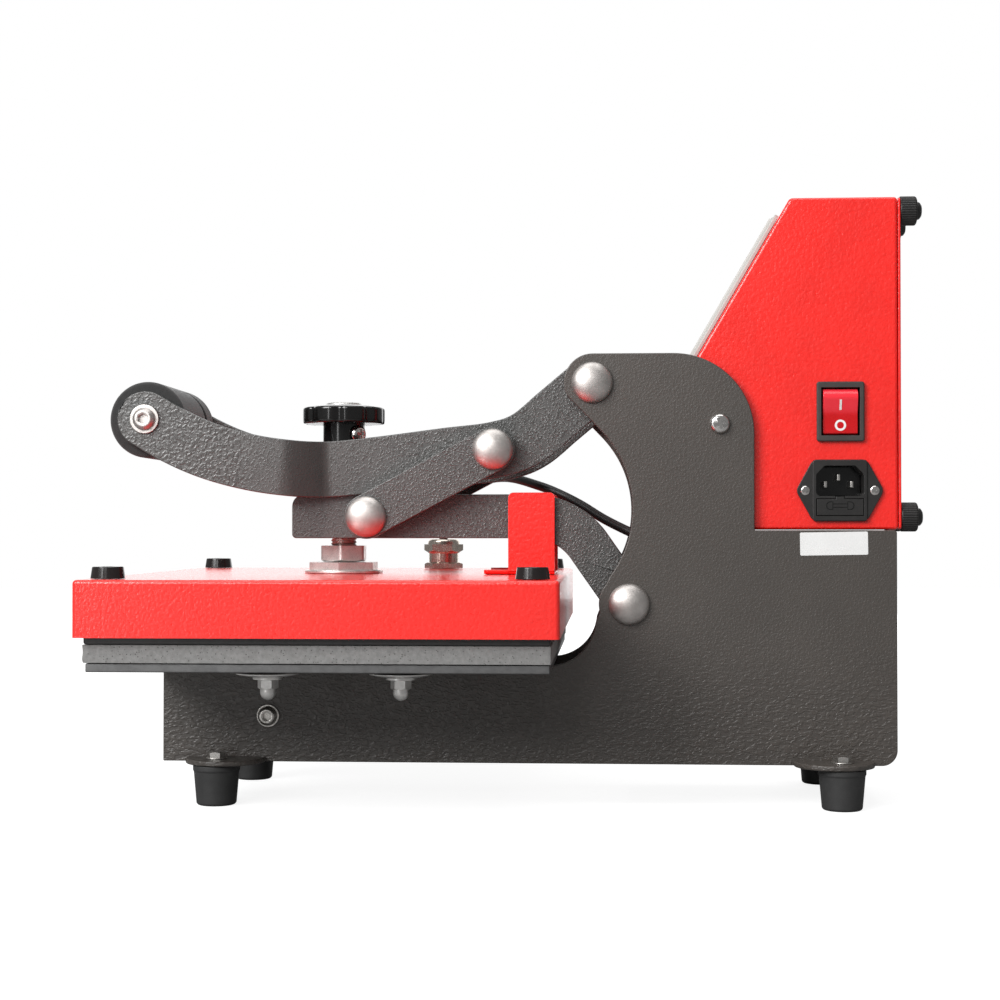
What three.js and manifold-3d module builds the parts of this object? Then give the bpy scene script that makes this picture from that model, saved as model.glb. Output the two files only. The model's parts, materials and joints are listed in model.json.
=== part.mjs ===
// A clamshell heat press: a tabletop press that prints transfers on cloth, shown closed.
// Millimetres, +Z up. The handle and the front face -Y, the control box stands at +Y, and +X is
// the side with the power switch. The origin is on the table, under the middle of the machine.

import * as THREE from "three";
import { mergeVertices } from "three/addons/utils/BufferGeometryUtils.js";
import Module from "manifold-3d";

const wasm = await Module();
wasm.setup();

// ---------------------------------------------------------------- driving dimensions

const GAP = 0.3; // left between pieces that touch
const ARC_STEP = 18; // degrees between the points of a drawn arc

// Pivots, as [Y, Z]
const HANDLE_PIVOT = [45.9, 244.7];
const LINK_PIVOT = [-12.1, 206.1];
const LINK_END = [-86.4, 166.7];
const PLATEN_PIVOT = [67.1, 115.9];
const TAIL_PIN = [107, 92];
const SPRING_ANCHOR = [99, 36];
const PIVOT_RADIUS = 6;
const CAP_RADIUS = 12;
const CAP_HEIGHT = 7;

// Layers outwards from the middle plane, as [inner X, outer X]
const PLATEN_ARM_X = [24, 29];
const HANDLE_ARM_X = [29.5, 34.5];
const OUTER_X = [39.5, 44];
const HANDLE_JOG = 11.5; // how much further out the handle's front part runs
const HANDLE_JOG_Y = [-137, -111];

// Frame
const FRAME_BOTTOM = 23.3;
const FRAME_FRONT = -206.3;
const FRAME_BACK = 221;
const LOW_BAR_TOP = 80;
const BOX_SEAT_Z = 158.8;
const COLUMN_BACK_Y = 139.6;
const FRAME_TOP = 261.7;
const FOOT_X = 56;
const FOOT_Y = { front: -171.8, rear: 187.8 };
const TAB_THICKNESS = 3;
const TAB_RADIUS = 23;
const TAB_SHIFT = 3.5; // each tab sits a little nearer the middle than its foot
const STAY_BOLT = [-143.9, 50.2];

// Bed, pad and heating head
const PLATEN_Y = -98.8;
const BED = { width: 300, depth: 247.3, z: [83.3, 88] };
const PAD = { width: 304, depth: 251.9, z: [88.3, 98] };
const HEAT_PLATEN = { width: 305, depth: 248.3, z: [98.3, 112] };
const INSULATION = { width: 303, depth: 246, z: [112.3, 126] };
const COVER = { width: 315, depth: 258.1, z: [101.9, 132.6], wall: 1.6 };
const BRACKET_Y = [-132.6, -58.7];
const BUMPER = { x: 140, dy: 114.2, radius: 9.3, height: 6.5 };
const GLAND = [-138, -57.4];

// Pressure screw
const SCREW_Y = -105.8;
const SCREW_RADIUS = 7.8;
const SCREW_HOLE = 8.2;

// Control box
const BOX_HALF = 38.75;
const BOX_WALL = 1.5;
const BOX_FRONT_Y = 81.2;
const BOX_TOP_FRONT_Y = 160.8;
const BOX_Z = [159.1, 352.2];
const BOX_BACK = 222.6;
const SLOPE = 59.7; // degrees of the sloping front above the horizontal
const SWITCH = [189.4, 227.5];
const INLET = [188.9, 181.7];
const THUMB_SCREW = { x: 30, z: [166.5, 345.1] };
const CABLE_ENTRY_Y = 134;

// Controller panel, whose length runs down the slope
const PANEL = { width: 66, length: 118, fromTop: 69.7 };
const DISPLAY = { y: 22, width: 50, height: 28 };
const BUTTON_X = [-18, 0, 18];
const BUTTON_Y = -30;

// ---------------------------------------------------------------- drawing and solid helpers

const rad = THREE.MathUtils.degToRad;

// Points on an arc, from one angle to another in degrees.
function arc(u, v, radius, from, to, steps = Math.max(2, Math.ceil(Math.abs(to - from) / ARC_STEP))) {
  return Array.from({ length: steps + 1 }, (_, i) => {
    const a = rad(from + ((to - from) * i) / steps);
    return [u + radius * Math.cos(a), v + radius * Math.sin(a)];
  });
}

const circle = (u, v, radius) => arc(u, v, radius, 0, 360).slice(0, -1);

const roundedRectangle = (u, v, width, height, radius) =>
  [[1, -1, -90], [1, 1, 0], [-1, 1, 90], [-1, -1, 180]].flatMap(([su, sv, from]) =>
    arc(u + su * (width / 2 - radius), v + sv * (height / 2 - radius), radius, from, from + 90),
  );

// A bar with round ends between two points.
function stadium([u0, v0], [u1, v1], radius) {
  const angle = THREE.MathUtils.radToDeg(Math.atan2(v1 - v0, u1 - u0));
  return [...arc(u1, v1, radius, angle - 90, angle + 90), ...arc(u0, v0, radius, angle + 90, angle + 270)];
}

function shapeOf(points, holes = []) {
  const vectors = (list) =>
    list
      .map(([u, v]) => new THREE.Vector2(u, v))
      .filter((p, i, all) => p.distanceTo(all[(i + 1) % all.length]) > 1e-3);
  const shape = new THREE.Shape(vectors(points));
  shape.holes = holes.map((hole) => new THREE.Path(vectors(hole)));
  return shape;
}

// An outline in (X, Y) swept up Z.
function sweptZ(points, [z0, z1], holes) {
  const options = { depth: z1 - z0, bevelEnabled: false };
  return new THREE.ExtrudeGeometry(shapeOf(points, holes), options).translate(0, 0, z0);
}

// An outline in (Y, Z) swept along X.
const sweptX = (points, span, holes) =>
  sweptZ(points, span, holes).applyMatrix4(
    new THREE.Matrix4().makeBasis(
      new THREE.Vector3(0, 1, 0),
      new THREE.Vector3(0, 0, 1),
      new THREE.Vector3(1, 0, 0),
    ),
  );

const block = ([x0, x1], [y0, y1], [z0, z1]) =>
  new THREE.BoxGeometry(x1 - x0, y1 - y0, z1 - z0).translate(
    (x0 + x1) / 2,
    (y0 + y1) / 2,
    (z0 + z1) / 2,
  );

// A plate of a given width and depth, centred on the platen.
const platenBlock = ({ width, depth, z }, inset = 0) =>
  block(
    [inset - width / 2, width / 2 - inset],
    [PLATEN_Y - depth / 2 + inset, PLATEN_Y + depth / 2 - inset],
    z,
  );

// Profiles of [radius, height] turned about Z, and profiles of [radius, X] turned about X.
const profileOf = (profile) => profile.map(([r, h]) => new THREE.Vector2(r, h));
const turnedZ = (profile, sides = 16) =>
  new THREE.LatheGeometry(profileOf(profile), sides).rotateX(Math.PI / 2);
const turnedX = (profile, sides = 16) =>
  new THREE.LatheGeometry(profileOf(profile), sides).rotateZ(-Math.PI / 2);

const rodZ = (x, y, radius, [z0, z1], sides = 16) =>
  turnedZ([[0, z0], [radius, z0], [radius, z1], [0, z1]], sides).translate(x, y, 0);
const rodX = ([y, z], radius, [x0, x1], sides = 16) =>
  turnedX([[0, x0], [radius, x0], [radius, x1], [0, x1]], sides).translate(0, y, z);

// Hexagon across the flats.
const hexZ = (x, y, flats, span) => rodZ(x, y, flats / Math.sqrt(3), span, 6);

function solid(geometry) {
  const bare = geometry.clone();
  bare.deleteAttribute("normal");
  bare.deleteAttribute("uv");
  const merged = mergeVertices(bare, 1e-4);
  return new wasm.Manifold(
    new wasm.Mesh({
      numProp: 3,
      vertProperties: merged.attributes.position.array,
      triVerts: new Uint32Array(merged.index.array),
    }),
  );
}

function geometryOf(body) {
  const { vertProperties, triVerts } = body.getMesh();
  return new THREE.BufferGeometry()
    .setAttribute("position", new THREE.BufferAttribute(vertProperties, 3))
    .setIndex(new THREE.BufferAttribute(triVerts, 1));
}

const join = (...pieces) => geometryOf(pieces.map(solid).reduce((a, b) => a.add(b)));
const cut = (base, ...tools) =>
  geometryOf(tools.map(solid).reduce((a, b) => a.subtract(b), solid(base)));

// ---------------------------------------------------------------- materials and the tree

const material = (color, roughness, metalness) =>
  new THREE.MeshStandardMaterial({ color, roughness, metalness });
const greyPaint = material(0x5a5652, 0.55, 0.2);
const redPaint = material(0xe02a22, 0.4, 0.1);
const satinSteel = material(0xb8b4ae, 0.35, 1);
const zincSteel = material(0xa9a59c, 0.4, 1);
const castAluminium = material(0x8d8f90, 0.5, 0.9);
const blackRubber = material(0x2b2b2b, 0.85, 0);
const blackPlastic = material(0x17171a, 0.35, 0);
const foam = material(0x33343a, 0.95, 0);
const silicone = material(0x8d8c88, 0.9, 0);
const mineralWool = material(0xd8cfb8, 1, 0);
const redPlastic = material(0xc80a22, 0.2, 0);
const greyPlastic = material(0xc9cccd, 0.5, 0);
const circuitBoard = material(0x1f5a36, 0.6, 0);
const cableJacket = material(0x161616, 0.6, 0);

const press = new THREE.Group();

function piece(name, geometry, finish, parent = press) {
  const mesh = new THREE.Mesh(geometry, finish);
  mesh.name = name;
  parent.add(mesh);
  return mesh;
}

// The same piece on both sides of the middle plane.
function pair(name, geometry, finish) {
  piece(`${name}_right`, geometry, finish);
  piece(`${name}_left`, geometry, finish).scale.x = -1;
}

// ---------------------------------------------------------------- frame

function sidePlateOutline() {
  const [ay, az] = HANDLE_PIVOT;
  const [dy, dz] = PLATEN_PIVOT;
  const shoulder = 46.8;
  const heel = 9;
  const brow = 16.7; // the plate's round end about the handle's pivot
  const throat = { y: 3.8, z: 171.5, radius: 65.5 }; // the hollow behind the head
  const fillet = 27.5; // where the throat runs out on to the low bar
  return [
    [FRAME_FRONT, FRAME_BOTTOM],
    ...arc(FRAME_BACK - heel, FRAME_BOTTOM + heel, heel, -90, 0),
    ...arc(FRAME_BACK - 1.5, BOX_SEAT_Z - 1.5, 1.5, 0, 90),
    [COLUMN_BACK_Y, BOX_SEAT_Z],
    ...arc(COLUMN_BACK_Y - shoulder, FRAME_TOP - shoulder, shoulder, 0, 90),
    ...arc(ay + GAP, az + GAP, brow, 90, 208),
    ...arc(throat.y, throat.z, throat.radius, 43, -36),
    ...arc(dy, dz, 17.5, 140, 195),
    ...arc(20.3, LOW_BAR_TOP + fillet, fillet, -5, -90),
    [FRAME_FRONT, LOW_BAR_TOP],
  ];
}

function footTab(footY) {
  const y = footY - Math.sign(footY) * TAB_SHIFT;
  const rootX = OUTER_X[0] + 2;
  const outerX = FOOT_X - 8;
  const points = [[rootX, y - TAB_RADIUS], ...arc(outerX, y, TAB_RADIUS, -90, 90), [rootX, y + TAB_RADIUS]];
  return sweptZ(points, [FRAME_BOTTOM, FRAME_BOTTOM + TAB_THICKNESS]);
}

function sidePlate() {
  const pivotHole = ([y, z]) => circle(y, z, PIVOT_RADIUS + GAP);
  const holes = [pivotHole(HANDLE_PIVOT), pivotHole(PLATEN_PIVOT), circle(...STAY_BOLT, 3.3)];
  return join(
    sweptX(sidePlateOutline(), OUTER_X, holes),
    footTab(FOOT_Y.front),
    footTab(FOOT_Y.rear),
  );
}

pair("side_plate", sidePlate(), greyPaint);

// A bolt through both side plates, with the sleeve that keeps them apart.
function stayBolt() {
  const [inner, outer] = OUTER_X;
  const half = [
    [0, outer + 6.5],
    [5, outer + 6.2],
    [5.2, outer + 1.9],
    [6.4, outer + 1.6],
    [6.4, outer + GAP],
    [3, outer + GAP],
    [3, inner - GAP],
    [8, inner - GAP],
  ];
  const mirrored = half.map(([r, x]) => [r, -x]);
  return turnedX([...mirrored, ...half.toReversed()], 14).translate(0, ...STAY_BOLT);
}

piece("front_stay_bolt", stayBolt(), zincSteel);

// The folded sheet that closes the frame below the control box, with the anchor of the lift spring.
function framePan() {
  const half = OUTER_X[0] - GAP;
  const sheet = 2;
  const back = FRAME_BACK - 3.5;
  const floor = 24.3;
  const [anchorY, anchorZ] = SPRING_ANCHOR;
  const fold = [
    [62, floor],
    ...arc(back - 5, floor + 5, 5, -90, 0),
    [back, BOX_SEAT_Z - 1.5],
    [back - sheet, BOX_SEAT_Z - 1.5],
    ...arc(back - 5, floor + 5, 5 - sheet, 0, -90),
    [62, floor + sheet],
  ];
  const lug = (x) => block([x - 1.5, x + 1.5], [anchorY - 7, anchorY + 7], [floor + 1, anchorZ + 6]);
  return join(
    sweptX(fold, [-half, half]),
    lug(-9),
    lug(9),
    rodX(SPRING_ANCHOR, 2.5, [-10, 10], 12),
  );
}

piece("frame_pan", framePan(), greyPaint);

const footProfile = [
  [0, 2],
  [7, 2],
  [7.5, 0],
  [10.6, 0],
  [11.4, 0.9],
  [13.2, 19.5],
  [13.6, 20.5],
  [13.6, 23],
  [0, 23],
];
for (const [end, y] of Object.entries(FOOT_Y))
  for (const [side, sign] of [["right", 1], ["left", -1]])
    piece(`foot_${end}_${side}`, turnedZ(footProfile), blackRubber).position.set(sign * FOOT_X, y, 0);

// ---------------------------------------------------------------- bed

BRACKET_Y.forEach((y, i) => {
  const bar = sweptZ(roundedRectangle(0, y, 236, 40, 6), [LOW_BAR_TOP + GAP, BED.z[0] - GAP]);
  piece(["bed_bracket_front", "bed_bracket_rear"][i], bar, greyPaint);
});

piece("bed_plate", platenBlock(BED), castAluminium);
piece("silicone_pad", platenBlock(PAD), silicone);

// ---------------------------------------------------------------- pivots

// Half of a capped pivot, from its outer tip inwards: [radius, X].
function capHalf() {
  const face = OUTER_X[1] + GAP;
  const dome = [90, 67.5, 45, 22.5, 0].map((a) => [
    CAP_RADIUS * Math.cos(rad(a)),
    face + 0.6 + (CAP_HEIGHT - 0.6) * Math.sin(rad(a)),
  ]);
  return [...dome, [CAP_RADIUS, face], [PIVOT_RADIUS, face]];
}

// A shaft with a domed cap at each end and a spacer collar in the gap between two layers.
function cappedShaft(collarFrom) {
  const collarTo = OUTER_X[0] - GAP;
  const half = [
    ...capHalf(),
    [PIVOT_RADIUS, collarTo],
    [9.5, collarTo],
    [9.5, collarFrom],
    [PIVOT_RADIUS, collarFrom],
  ];
  half[0][0] = 0;
  const mirrored = half.map(([r, x]) => [r, -x]);
  return turnedX([...mirrored, ...half.toReversed()], 18);
}

// The pin that ends a link, stopping short of the platen arm.
function linkEndPin() {
  const inner = PLATEN_ARM_X[1] + 0.6;
  const half = [
    ...capHalf(),
    [PIVOT_RADIUS, OUTER_X[0] - GAP],
    [8, OUTER_X[0] - GAP],
    [8, inner],
    [0, inner],
  ];
  half[0][0] = 0;
  return turnedX(half.toReversed(), 18);
}

const atPivot = (geometry, [y, z]) => geometry.translate(0, y, z);
const spacerFrom = (layer) => layer[1] + GAP;

piece("handle_pivot_shaft", atPivot(cappedShaft(spacerFrom(HANDLE_ARM_X)), HANDLE_PIVOT), satinSteel);
piece("platen_pivot_shaft", atPivot(cappedShaft(spacerFrom(PLATEN_ARM_X)), PLATEN_PIVOT), satinSteel);
piece("link_pin", atPivot(cappedShaft(spacerFrom(HANDLE_ARM_X)), LINK_PIVOT), satinSteel);
pair("link_end_pin", atPivot(linkEndPin(), LINK_END), satinSteel);

// ---------------------------------------------------------------- handle

const GRIP_CENTRE = [-217.3, 224.2];
const HANDLE_HALF_WIDTH = 16.5;

// The middle line of a handle arm, from the grip to its pivot.
const handleLine = new THREE.SplineCurve(
  [
    GRIP_CENTRE,
    [-201, 214.8],
    [-182.5, 206.5],
    [-162.5, 200.4],
    [-140, 196.2],
    [-115.8, 194.6],
    [-85.2, 197],
    [-40.9, 202.6],
    LINK_PIVOT,
    [7, 212.5],
    [26, 228],
    HANDLE_PIVOT,
  ].map(([y, z]) => new THREE.Vector2(y, z)),
);

// A flat bar along a curve in (Y, Z), moved out along X by sideways(y).
function curvedBar(curve, halfWidth, [x0, x1], sideways, steps) {
  const positions = [];
  const faces = [];
  for (let i = 0; i <= steps; i++) {
    const at = curve.getPoint(i / steps);
    const along = curve.getTangent(i / steps);
    const shift = sideways(at.x);
    for (const [side, x] of [[-1, x0], [1, x0], [1, x1], [-1, x1]])
      positions.push(x + shift, at.x - side * along.y * halfWidth, at.y + side * along.x * halfWidth);
  }
  const quad = (a, b, c, d) => faces.push(a, b, c, a, c, d);
  for (let i = 0; i < steps; i++)
    for (let k = 0; k < 4; k++) {
      const next = (k + 1) % 4;
      quad(4 * i + k, 4 * i + next, 4 * i + 4 + next, 4 * i + 4 + k);
    }
  quad(3, 2, 1, 0);
  quad(4 * steps, 4 * steps + 1, 4 * steps + 2, 4 * steps + 3);
  return new THREE.BufferGeometry()
    .setAttribute("position", new THREE.Float32BufferAttribute(positions, 3))
    .setIndex(faces);
}

function handleArm() {
  const [from, to] = HANDLE_JOG_Y;
  const share = (y) => THREE.MathUtils.clamp((y - from) / (to - from), 0, 1);
  const sideways = (y) => HANDLE_JOG * (1 - share(y) ** 1.6);
  const front = HANDLE_ARM_X.map((x) => x + HANDLE_JOG);
  const through = [HANDLE_ARM_X[0] - 1, HANDLE_ARM_X[1] + 1];
  return cut(
    join(
      curvedBar(handleLine, HANDLE_HALF_WIDTH, HANDLE_ARM_X, sideways, 34),
      rodX(GRIP_CENTRE, HANDLE_HALF_WIDTH, front, 24),
      rodX(HANDLE_PIVOT, HANDLE_HALF_WIDTH, HANDLE_ARM_X, 24),
    ),
    rodX(HANDLE_PIVOT, PIVOT_RADIUS + GAP, through, 18),
    rodX(LINK_PIVOT, PIVOT_RADIUS + GAP, through, 18),
    rodX(GRIP_CENTRE, 4.3, [front[0] - 1, front[1] + 1], 16),
  );
}

pair("handle_arm", handleArm(), greyPaint);

const gripEnd = HANDLE_ARM_X[0] + HANDLE_JOG - GAP;

// A profile turned about X, mirrored about the middle plane.
const mirroredTurn = (half, sides) =>
  turnedX([...half.map(([r, x]) => [r, -x]), ...half.toReversed()], sides);

// A tube about the grip's axis: [radius, X] from the bore at the end to the middle plane.
function gripTube(bore, outside, end) {
  const half = [
    [bore, end],
    ...outside(end),
  ];
  const closed = [...half.map(([r, x]) => [r, -x]), ...half.toReversed()];
  return atPivot(turnedX([...closed, closed[0]], 24), GRIP_CENTRE);
}

piece("grip_tube", gripTube(4.4, (end) => [[11, end]], gripEnd), zincSteel);

const sleeveProfile = (end) => [
  [20.6, end],
  [22.6, end - 2.2],
  [22.6, 1],
  [21.4, 0.2],
];
piece("grip_sleeve", gripTube(11.3, sleeveProfile, gripEnd - 0.4), foam);

const armFace = HANDLE_ARM_X[1] + HANDLE_JOG + GAP;
const boltHead = [
  [0, armFace + 4.9],
  [5, armFace + 4.9],
  [6.6, armFace + 3.4],
  [6.6, armFace + 1.5],
  [8.6, armFace + 1.3],
  [8.6, armFace],
  [4, armFace],
];
piece("grip_bolt", atPivot(mirroredTurn(boltHead, 16), GRIP_CENTRE), satinSteel);

// ---------------------------------------------------------------- links and platen arms

const linkHoles = [LINK_PIVOT, LINK_END].map(([y, z]) => circle(y, z, PIVOT_RADIUS + GAP));
pair("link_bar", sweptX(stadium(LINK_END, LINK_PIVOT, 13), OUTER_X, linkHoles), greyPaint);

const ARM_FRONT_Y = -132.7;
const ARM_BEND = { y: 9.8, z: 125.5, inner: 28.5, outer: 54.5, from: 35 };

function platenArm() {
  const { y, z, inner, outer, from } = ARM_BEND;
  const [dy, dz] = PLATEN_PIVOT;
  const half = (outer - inner) / 2;
  const across = [Math.cos(rad(from)), Math.sin(rad(from))];
  const corner = 2.5;
  const main = [
    ...arc(ARM_FRONT_Y + corner, z + outer - corner, corner, 90, 180),
    ...arc(ARM_FRONT_Y + corner, z + inner + corner, corner, 180, 270),
    ...arc(y, z, inner, 90, from),
    [dy - half * across[0], dz - half * across[1]],
    [dy + half * across[0], dz + half * across[1]],
    ...arc(y, z, outer, from, 90),
  ];
  const through = [PLATEN_ARM_X[0] - 1, PLATEN_ARM_X[1] + 1];
  return cut(
    join(
      sweptX(main, PLATEN_ARM_X),
      rodX(PLATEN_PIVOT, 16, PLATEN_ARM_X, 24),
      sweptX(stadium(PLATEN_PIVOT, TAIL_PIN, 8), PLATEN_ARM_X),
    ),
    rodX(PLATEN_PIVOT, PIVOT_RADIUS + GAP, through, 18),
    rodX(LINK_END, PIVOT_RADIUS + GAP, through, 18),
    rodX(TAIL_PIN, 3.3, through, 16),
  );
}

pair("platen_arm", platenArm(), greyPaint);

const armFlush = PLATEN_ARM_X[1] - 0.2;
piece("link_cross_shaft", rodX(LINK_END, PIVOT_RADIUS, [-armFlush, armFlush]), satinSteel);
piece("spring_tail_pin", rodX(TAIL_PIN, 3, [-armFlush, armFlush], 14), zincSteel);

const blockHalf = PLATEN_ARM_X[0] - GAP;
piece(
  "pressure_block",
  cut(
    block([-blockHalf, blockHalf], [-130, -95.5], [156, 178]),
    rodZ(0, SCREW_Y, SCREW_HOLE, [150, 185], 24),
  ),
  zincSteel,
);

// The spring pulls the tail of the platen arms down, which lifts the head.
function liftSpring() {
  const [y0, z0] = SPRING_ANCHOR;
  const [y1, z1] = TAIL_PIN;
  const length = Math.hypot(y1 - y0, z1 - z0);
  const hook = 11;
  return cut(
    join(
      rodZ(0, 0, 8.5, [hook, length - hook], 18),
      block([-1.5, 1.5], [-5, 5], [-5, hook + 1]),
      block([-1.5, 1.5], [-5, 5], [length - hook - 1, length + 5]),
    ),
    rodX([0, 0], 2.9, [-3, 3], 12),
    rodX([0, length], 3.4, [-3, 3], 14),
  )
    .rotateX(-Math.atan2(y1 - y0, z1 - z0))
    .translate(0, y0, z0);
}

piece("lift_spring", liftSpring(), zincSteel);

// ---------------------------------------------------------------- heating head

piece("heat_platen", platenBlock(HEAT_PLATEN), castAluminium);
piece("insulation_mat", platenBlock(INSULATION), mineralWool);

function platenCover() {
  const { width, depth, z, wall } = COVER;
  const outside = sweptZ(roundedRectangle(0, PLATEN_Y, width, depth, 2.5), z);
  const inside = platenBlock({ width, depth, z: [z[0] - 1, z[1] - wall] }, wall);
  return cut(outside, inside, rodZ(...GLAND, 8.6, [z[0], z[1] + 5]));
}

piece("platen_cover", platenCover(), redPaint);

const coverTop = COVER.z[1] + GAP;

const bumperProfile = [
  [0, coverTop],
  [BUMPER.radius, coverTop],
  [BUMPER.radius - 0.7, coverTop + BUMPER.height - 0.8],
  [BUMPER.radius - 1.5, coverTop + BUMPER.height],
  [3.4, coverTop + BUMPER.height],
  [3, coverTop + BUMPER.height - 2.5],
  [0, coverTop + BUMPER.height - 2.5],
];
for (const [end, dy] of [["front", -BUMPER.dy], ["rear", BUMPER.dy]])
  for (const [side, x] of [["right", BUMPER.x], ["left", -BUMPER.x]])
    piece(`cover_bumper_${end}_${side}`, turnedZ(bumperProfile), blackRubber).position.set(
      x,
      PLATEN_Y + dy,
      0,
    );

// A folded sheet whose two ears stand outside the platen arms and keep the head from turning.
function antiTwistBracket() {
  const sheet = 2;
  const earX = [PLATEN_ARM_X[1] + 2, PLATEN_ARM_X[1] + 2 + sheet];
  const earY = [-3.7, 23.7];
  const earTop = 181;
  const round = 3;
  const ear = [
    [earY[0], coverTop],
    [earY[1], coverTop],
    ...arc(earY[1] - round, earTop - round, round, 0, 90),
    ...arc(earY[0] + round, earTop - round, round, 90, 180),
  ];
  return join(
    block([-earX[1], earX[1]], [-77, earY[1]], [coverTop, coverTop + sheet]),
    sweptX(ear, earX),
    sweptX(ear, [-earX[1], -earX[0]]),
  );
}

piece("anti_twist_bracket", antiTwistBracket(), redPaint);

function platenFlange() {
  return cut(
    join(
      rodZ(0, SCREW_Y, 23.8, [coverTop, coverTop + 1.8], 32),
      hexZ(0, SCREW_Y, 39, [coverTop + 1, coverTop + 6.5]),
    ),
    rodZ(0, SCREW_Y, SCREW_HOLE, [coverTop + 0.6, coverTop + 9], 24),
  );
}

piece("platen_flange", platenFlange(), zincSteel);
piece(
  "lock_nut",
  cut(hexZ(0, 0, 26, [139.8, 149.4]).rotateZ(Math.PI / 6), rodZ(0, 0, SCREW_HOLE, [138, 151], 24))
    .translate(0, SCREW_Y, 0),
  zincSteel,
);

function cableGland() {
  const [x, y] = GLAND;
  const outside = join(
    rodZ(0, 0, 8.2, [coverTop - 5, coverTop + 1]),
    hexZ(0, 0, 25, [coverTop, coverTop + 4.5]),
    rodZ(0, 0, 9.3, [coverTop + 4, coverTop + 9]),
    rodZ(0, 0, 10.8, [coverTop + 8.5, coverTop + 12.5]),
    hexZ(0, 0, 26, [coverTop + 12, coverTop + 16.2]),
    turnedZ([[0, coverTop + 16], [10.8, coverTop + 16], [9.6, coverTop + 20], [0, coverTop + 20]]),
  );
  return cut(outside, rodZ(0, 0, 3.3, [coverTop - 8, coverTop + 22], 12)).translate(x, y, 0);
}

piece("cable_gland", cableGland(), satinSteel);

// ---------------------------------------------------------------- pressure screw and knob

piece("pressure_screw", rodZ(0, SCREW_Y, SCREW_RADIUS, [coverTop + 1, 229], 24), zincSteel);

function pressureKnob() {
  const lobes = 8;
  const rimPoints = 64;
  const rim = Array.from({ length: rimPoints }, (_, i) => {
    const a = (i / rimPoints) * 2 * Math.PI;
    const r = 22.9 + 1.9 * Math.cos(lobes * a);
    return [r * Math.cos(a), r * Math.sin(a)];
  });
  const headBottom = 224.2;
  return cut(
    join(
      sweptZ(rim, [headBottom, 234.8]),
      rodZ(0, 0, 13.5, [234, 236.9], 28),
      rodZ(0, 0, 12.75, [199, headBottom + 1], 28),
    ),
    rodZ(0, 0, SCREW_HOLE, [190, 230], 24),
  ).translate(0, SCREW_Y, 0);
}

piece("pressure_knob", pressureKnob(), blackPlastic);

// ---------------------------------------------------------------- control box

// Where the sloping front meets the front wall.
const slopeRun = BOX_TOP_FRONT_Y - BOX_FRONT_Y;
const slopeFootZ = BOX_Z[1] - slopeRun * Math.tan(rad(SLOPE));

// The box's outline in (Y, Z), drawn inset by the wall for its hollow, which is open at the back.
function boxOutline(inset) {
  const [bottom, top] = BOX_Z;
  const back = BOX_BACK + (inset ? 5 : 0);
  const sideStep = inset * Math.tan(rad(SLOPE / 2));
  return [
    [BOX_FRONT_Y + inset, bottom + inset],
    [back, bottom + inset],
    [back, top - inset],
    [BOX_TOP_FRONT_Y + sideStep, top - inset],
    [BOX_FRONT_Y + inset, slopeFootZ - inset * Math.tan(rad((90 - SLOPE) / 2))],
  ];
}

// The panel's own frame: x along X, y up the slope and z out of the box.
const panelGroup = new THREE.Group();
panelGroup.rotation.x = rad(SLOPE);
panelGroup.position.set(
  0,
  BOX_TOP_FRONT_Y - PANEL.fromTop * Math.cos(rad(SLOPE)),
  BOX_Z[1] - PANEL.fromTop * Math.sin(rad(SLOPE)),
);
press.add(panelGroup);
panelGroup.updateMatrix();

function boxShell() {
  const inner = BOX_HALF - BOX_WALL;
  const rightWall = [inner - 2, BOX_HALF + 2];
  const panelHole = block([-29, 29], [-55, 55], [-4, 4]).applyMatrix4(panelGroup.matrix);
  return cut(
    sweptX(boxOutline(0), [-BOX_HALF, BOX_HALF]),
    sweptX(boxOutline(BOX_WALL), [-inner, inner]),
    panelHole,
    block(rightWall, [SWITCH[0] - 12.8, SWITCH[0] + 12.8], [SWITCH[1] - 15.7, SWITCH[1] + 15.7]),
    block(rightWall, [INLET[0] - 14.6, INLET[0] + 14.6], [INLET[1] - 15.8, INLET[1] + 16]),
    rodZ(0, CABLE_ENTRY_Y, 4, [BOX_Z[0] - 2, BOX_Z[0] + 3]),
  );
}

// The rear cover has louvres pressed outwards above slots.
function rearCover() {
  const y = [BOX_BACK + GAP, BOX_BACK + GAP + 1.5];
  const plate = block([-38.4, 38.4], y, [BOX_Z[0] + 0.4, BOX_Z[1] - 0.4]);
  const louvreZ = [312, 279.5, 247, 214.5, 182];
  const louvres = louvreZ.map((z) =>
    sweptX([[y[1] - 0.5, z - 3], [y[1] + 1.2, z - 2.6], [y[1] - 0.5, z + 3.5]], [-24, 24]),
  );
  const slots = louvreZ.map((z) => block([-23, 23], [y[0] - 1, y[1] + 1], [z - 6.4, z - 3.4]));
  const holes = THUMB_SCREW.z.flatMap((z) =>
    [-1, 1].map((side) =>
      rodX([0, 0], 2.6, [-4, 4], 12)
        .rotateZ(Math.PI / 2)
        .translate(side * THUMB_SCREW.x, y[0], z),
    ),
  );
  return cut(join(plate, ...louvres), ...slots, ...holes);
}

function thumbScrew() {
  const face = BOX_BACK + 1.8 + GAP;
  return turnedX(
    [
      [0, face - 9],
      [2.2, face - 9],
      [2.2, face],
      [8.3, face],
      [8.5, face + 0.6],
      [8.5, face + 9],
      [7.6, face + 9.8],
      [5.4, face + 12.1],
      [0, face + 13.2],
    ],
    16,
  ).rotateZ(Math.PI / 2);
}

function controllerBezel() {
  const button = (x) => circle(x, BUTTON_Y, 5.4);
  const display = roundedRectangle(0, DISPLAY.y, DISPLAY.width, DISPLAY.height, 1);
  const openings = [display, ...BUTTON_X.map(button)];
  const { width, length } = PANEL;
  return join(
    sweptZ(roundedRectangle(0, 0, width, length, 5), [GAP, 2.6], openings),
    sweptZ(roundedRectangle(0, 0, width - 7, length - 7, 4), [2.6, 4.4], openings),
  );
}

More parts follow.
